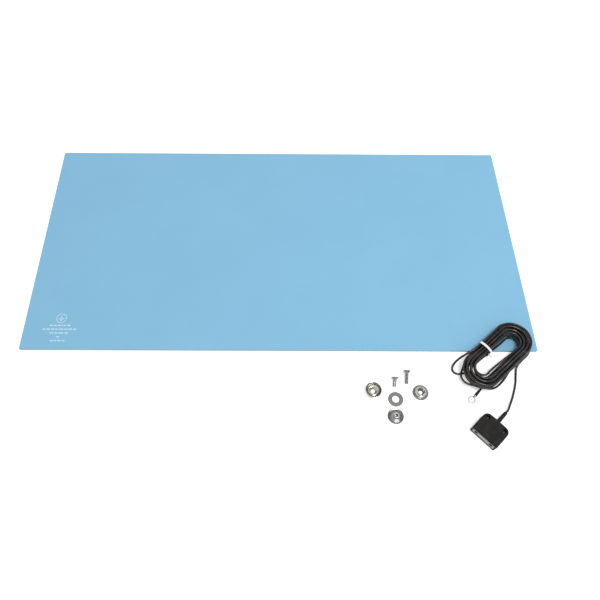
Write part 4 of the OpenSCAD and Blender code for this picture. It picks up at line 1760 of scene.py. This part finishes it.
        flange, neck, thick = -self.wall - 0.95, self.neck_hole_r - 0.1, 0.9
        profile = [(0, flange), (2.8, flange), (2.8, flange + thick), (neck, flange + thick), (neck, 0),
                   (outside(0), 0)]
        for at in (i * pitch for i in range(1, self.ribs + 1)):
            profile += [(outside(at), at), (outside(at) - self.groove_depth, at + 0.15),
                        (outside(at + gap) - self.groove_depth, at + gap - 0.15),
                        (outside(at + gap), at + gap)]
        profile += [(outside(length), length - 0.1), (outside(length) - 0.3, length), (self.cord_r, length),
                    (self.cord_r, length - 2), (0, length - 2)]
        place = self.spot.matrix @ shift(0, self.depth / 2 + 0.05, self.relief_z) @ TO_Y
        piece = Form().turned(profile, 56).soften(0.12).made("strain_relief_boot", place)
        return seat(piece, Body.CORD, "relief_black", RELIEF_BLACK, "strain_relief")

    def _screws(self) -> None:
        """Makes the two black cover screws, whose heads sit on the floors of their pockets."""
        both, cross = Form(), []
        low, under = self.base + 0.4, self.pocket + 0.02
        profile = [(0, low), (1.1, low), (1.1, under), (2.0, under), (2.0, under + 0.6), (1.6, under + 1.15),
                   (0.9, under + 1.38), (0, under + 1.4)]
        for to, turn in zip(self.screw_moves, (-20, 20)):
            both.add(Form().turned(profile, 40).soften(0.12), to)
            cross += [Form().brick((2.4, 0.5, 1.2), (0, 0, under + 1.4), turn + more).move(to)
                      for more in (0, 90)]
        piece = both.carved(cross).rounded(0.05).made("cover_screw_pair", self.spot.matrix)
        seat(piece, Body.CORD, "screw_black", SCREW_BLACK.at(self.spot), "cover_screws")

    def _snap(self) -> None:
        """Makes the snap socket in the underside and its spring ring."""
        at = self.spot.ahead(0, self.snap_y)
        unturned = replace(at, turn=0.0)
        r, depth, top = self.snap_bore_d / 2, self.snap_depth, self.snap_depth + 0.6
        wall, flange = r + self.snap_wall, r + self.snap_flange
        low, high = (self.spring_z + s * (self.spring_wire / 2 + 0.1) for s in (-1, 1))
        slot = r + self.spring_wire + 0.1
        profile = [(r, 0.1), (wall, 0.1), (wall, 2.0), (flange, 2.0), (flange, 2.6), (wall, 2.6),
                   (wall, top), (1.2, top), (1.2, top + 0.7), (0, top + 0.7), (0, depth), (r, depth),
                   (r, high), (slot, high), (slot, low), (r, low)]
        socket = Form().turned(profile, 64).soften(0.12).made("snap_socket_shell", at.matrix)
        seat(socket, Body.CORD, "nickel", SOCKET_NICKEL.at(unturned), "snap_socket")
        ring = Form()
        middle = shift(r + self.spring_wire / 2 + 0.05, 0, self.spring_z)
        bmesh.ops.create_circle(ring.bm, segments=20, radius=self.spring_wire / 2, matrix=middle @ UPRIGHT)
        ring.wound(0, self.spring_turn / 360, 72)
        spring = ring.made("snap_spring_wire", at.matrix @ swing(105))
        seat(spring, Body.CORD, "spring_steel", SPRING_STEEL.at(unturned), "snap_spring")

    def _inside(self) -> None:
        """Dresses the solids that stay inside the block."""
        for node, finish in (("jack_nuts", INNER_NICKEL), ("bus_bar", BAR_BRASS), ("solder_tag", INNER_TIN),
                             ("wire_crimp", INNER_TIN)):
            dress(node, finish.at(self.spot))
        dress("resistor", Banded(self.spot.ahead(*self.resistor_at, self.jack_z)))

    def build(self) -> bpy.types.Object:
        """Builds the block.

        Returns:
            The strain relief, which goes with the cord.
        """
        self._cover()
        self._floor()
        self._front()
        self._screws()
        self._snap()
        self._inside()
        return self._relief()


# ---------------------------------------------------------------- snap hardware


@dataclass
class Cup:
    """Pressed socket cup: flat floor with a countersunk seat, curved wall and rolled rim."""

    spot: Spot = Spot(107.0, -201.5)
    diameter: float = 19.0
    height: float = 6.0
    sheet: float = 0.6
    floor_r: float = 5.6
    floor_t: float = 2.4
    seat_r: float = 4.5
    hole_r: float = 2.2
    wall_steps: int = 14

    def _wall(self, r0: float, r1: float, z0: float, z1: float) -> list[Point]:
        """Points up a curved wall, without its last one.

        Args:
            r0: Radius at its foot.
            r1: Radius at its top.
            z0: Height of its foot.
            z1: Height of its top.

        Returns:
            The points.
        """
        angles = [math.pi / 2 * i / self.wall_steps for i in range(self.wall_steps)]
        return [(r0 + (r1 - r0) * math.sin(a), z0 + (z1 - z0) * (1 - math.cos(a))) for a in angles]

    def build(self) -> None:
        """Builds the cup."""
        rim, roll = self.diameter / 2, self.sheet * 0.9
        top, outer = self.height - roll, self.diameter / 2 - 0.2
        outside = self._wall(self.floor_r, outer, 0, top)
        inside = self._wall(self.floor_r - 0.6, outer - self.sheet, self.sheet, top)
        lip = [(rim - roll + roll * math.cos(a), top + roll * math.sin(a))
               for a in (math.radians(d) for d in range(-30, 225, 20))]
        profile = [(self.hole_r, 0), *outside, *lip, *inside[::-1], (self.seat_r + 0.5, self.floor_t),
                   (self.seat_r, self.floor_t), (self.hole_r, 0.2)]
        form = Form().turned(profile, 96).soften(0.12, sharper=40)
        piece = form.made("socket_cup_shell", self.spot.matrix)
        seat(piece, Body.CUP, "nickel", CUP_NICKEL.at(self.spot), "socket_cup")


@dataclass
class Stud:
    """Slotted stud: flange, sloped shoulder and six sprung fingers with a bead."""

    spot: Spot = Spot(161.0, -203.0)
    bead_r: float = 5.0
    finger: float = 1.0
    height: float = 6.2
    flange_r: float = 9.0
    shoulder: float = 1.5
    hole_r: float = 2.2
    floor: float = 2.6
    slots: int = 6
    slot_w: float = 1.2
    slot_turn: float = 30.0

    def build(self) -> None:
        """Builds the stud."""
        r, h, waist, wide = self.bead_r, self.height, self.bead_r - 0.25, self.bead_r + self.shoulder
        inner, hole, reach = r - self.finger, self.hole_r, r + 2.5
        body = Form().turned([
            (self.flange_r, 0), (self.flange_r, 0.85), (self.flange_r - 0.15, 1.0), (wide, 1.0), (wide, 2.0),
            (waist, 2.8), (waist, 3.6), (r, 3.9), (r, h - 0.9), (r - 0.15, h - 0.5), (r - 0.5, h), (inner, h),
            (inner, self.floor), (4.5, self.floor), (hole, 0.4), (hole, 0)], 96)
        turns = [self.slot_turn + 360 / self.slots * i for i in range(self.slots)]
        cuts = [Form().brick((reach, self.slot_w, h), (reach / 2, 0, self.floor + h / 2)).move(swing(turn))
                for turn in turns]
        piece = body.carved(cuts).rounded(0.12).made("slotted_stud_crown", self.spot.matrix)
        seat(piece, Body.STUD, "nickel", STUD_NICKEL.at(self.spot), "slotted_stud")


@dataclass
class Washer:
    """Flat washer, stamped, so that its upper edges are rounder than its lower ones."""

    spot: Spot = Spot(132.0, -211.0)
    diameter: float = 17.0
    bore_d: float = 8.0
    thickness: float = 0.9
    upper_edge: float = 0.24
    lower_edge: float = 0.06

    def build(self) -> None:
        """Builds the washer."""
        outer, inner, t = self.diameter / 2, self.bore_d / 2, self.thickness
        form = Form().turned([(inner, 0), (outer, 0), (outer, t), (inner, t)], 96)
        form.soften(self.upper_edge, 3, where=lambda e: min(v.co.z for v in e.verts) > t / 2)
        piece = form.soften(self.lower_edge).made("flat_washer_ring", self.spot.matrix)
        seat(piece, Body.WASHER, "zinc", WASHER_ZINC.at(self.spot), "flat_washer")


@dataclass
class BaseNut:
    """Base nut: shallow cone with a threaded boss."""

    spot: Spot = Spot(130.0, -230.5)
    diameter: float = 18.0
    height: float = 5.0
    boss_d: float = 6.6
    thread_d: float = 4.0
    core_share: float = 0.825
    pitch: float = 0.7
    turns: float = 4.2
    thread_from: float = 1.2
    fineness: int = 32

    def build(self) -> None:
        """Builds the base nut with its thread."""
        outer, boss, h = self.diameter / 2, self.boss_d / 2, self.height
        bore = self.thread_d * self.core_share / 2
        form = Form().turned([
            (0, 0), (outer - 0.3, 0), (outer, 0.3), (outer, 0.9), (outer - 0.6, 1.2), (outer - 1.6, 0.9),
            (boss + 1, 1.7), (boss, 2.1), (boss, h - 0.3), (boss - 0.3, h), (bore + 0.35, h),
            (bore, h - 0.35), (bore, 0.8), (0, 0.8)], 96).soften(0.1, sharper=25)
        root, crest = bore + 0.05, bore - 0.12
        thread = Form().section([(root, 0, -0.15), (root, 0, 0.15), (crest, 0, 0)])
        thread.wound(self.pitch, self.turns, round(self.fineness * self.turns))
        form.add(thread.run_out(root, self.pitch, self.turns), shift(z=self.thread_from))
        piece = form.made("base_nut_disc", self.spot.matrix)
        seat(piece, Body.NUT, "zinc", NUT_ZINC.at(self.spot), "base_nut")


@dataclass
class Screw:
    """Countersunk screw with a cross slot, lying on its head's rim and its tip."""

    name: str
    node: str
    body: Body
    spot: Spot
    length: float
    diameter: float = 4.0
    head_d: float = 8.4
    head_rim: float = 0.5
    cross: tuple[float, float, float] = (4.0, 0.8, 2.4)
    pitch: float = 0.8
    rise: float = 0.2
    fineness: int = 40

    def build(self) -> None:
        """Builds the screw with its thread and cross slot."""
        r, head, length = self.diameter / 2, self.head_d / 2, self.length
        core, cone = r - self.rise, head - r
        under = self.head_rim + cone
        form = Form().turned([(0, 0), (head, 0), (head, self.head_rim), (core, under + 0.1),
                              (core, length - 0.3), (core - 0.6, length), (0, length)], 64)
        slots = [Form().brick(self.cross, (0, 0, 0), turn) for turn in (45, 135)]
        screw = form.carved(slots).rounded(0.1)
        turns, root = (length - under - 1.1) / self.pitch, core - 0.06
        thread = Form().section([(root, 0, -0.3), (root, 0, 0.3), (r, 0, 0.05), (r, 0, -0.05)])
        thread.wound(self.pitch, turns, round(self.fineness * turns))
        screw.add(thread.run_out(root, self.pitch, turns), shift(z=under + 0.4))
        lean = math.asin(cone / length)
        lying = shift(z=head * math.cos(lean) + 0.02) @ swing(90 + math.degrees(lean), "Y")
        piece = screw.made(self.name, self.spot.matrix @ lying)
        seat(piece, self.body, "screw_steel", SCREW_STEEL.at(self.spot, f"_{self.body.value}"), self.node)


def main() -> None:
    logging.basicConfig(level=logging.INFO, format="%(message)s")
    mat = Mat()
    cord = Cord(mat)
    Stage().build()
    tie = Tie(cord).build()
    terminal = Terminal().build()
    relief = Block().build()
    cord.build([tie, *terminal, relief])
    mat.build()
    Cup().build()
    Stud().build()
    Washer().build()
    BaseNut().build()
    Screw("short_screw_body", "short_screw", Body.SHORT, Spot(133.0, -186.0, -97.0), 11.0).build()
    Screw("long_screw_body", "long_screw", Body.LONG, Spot(147.5, -178.0, -96.0), 15.5).build()


if __name__ == "__main__":
    main()
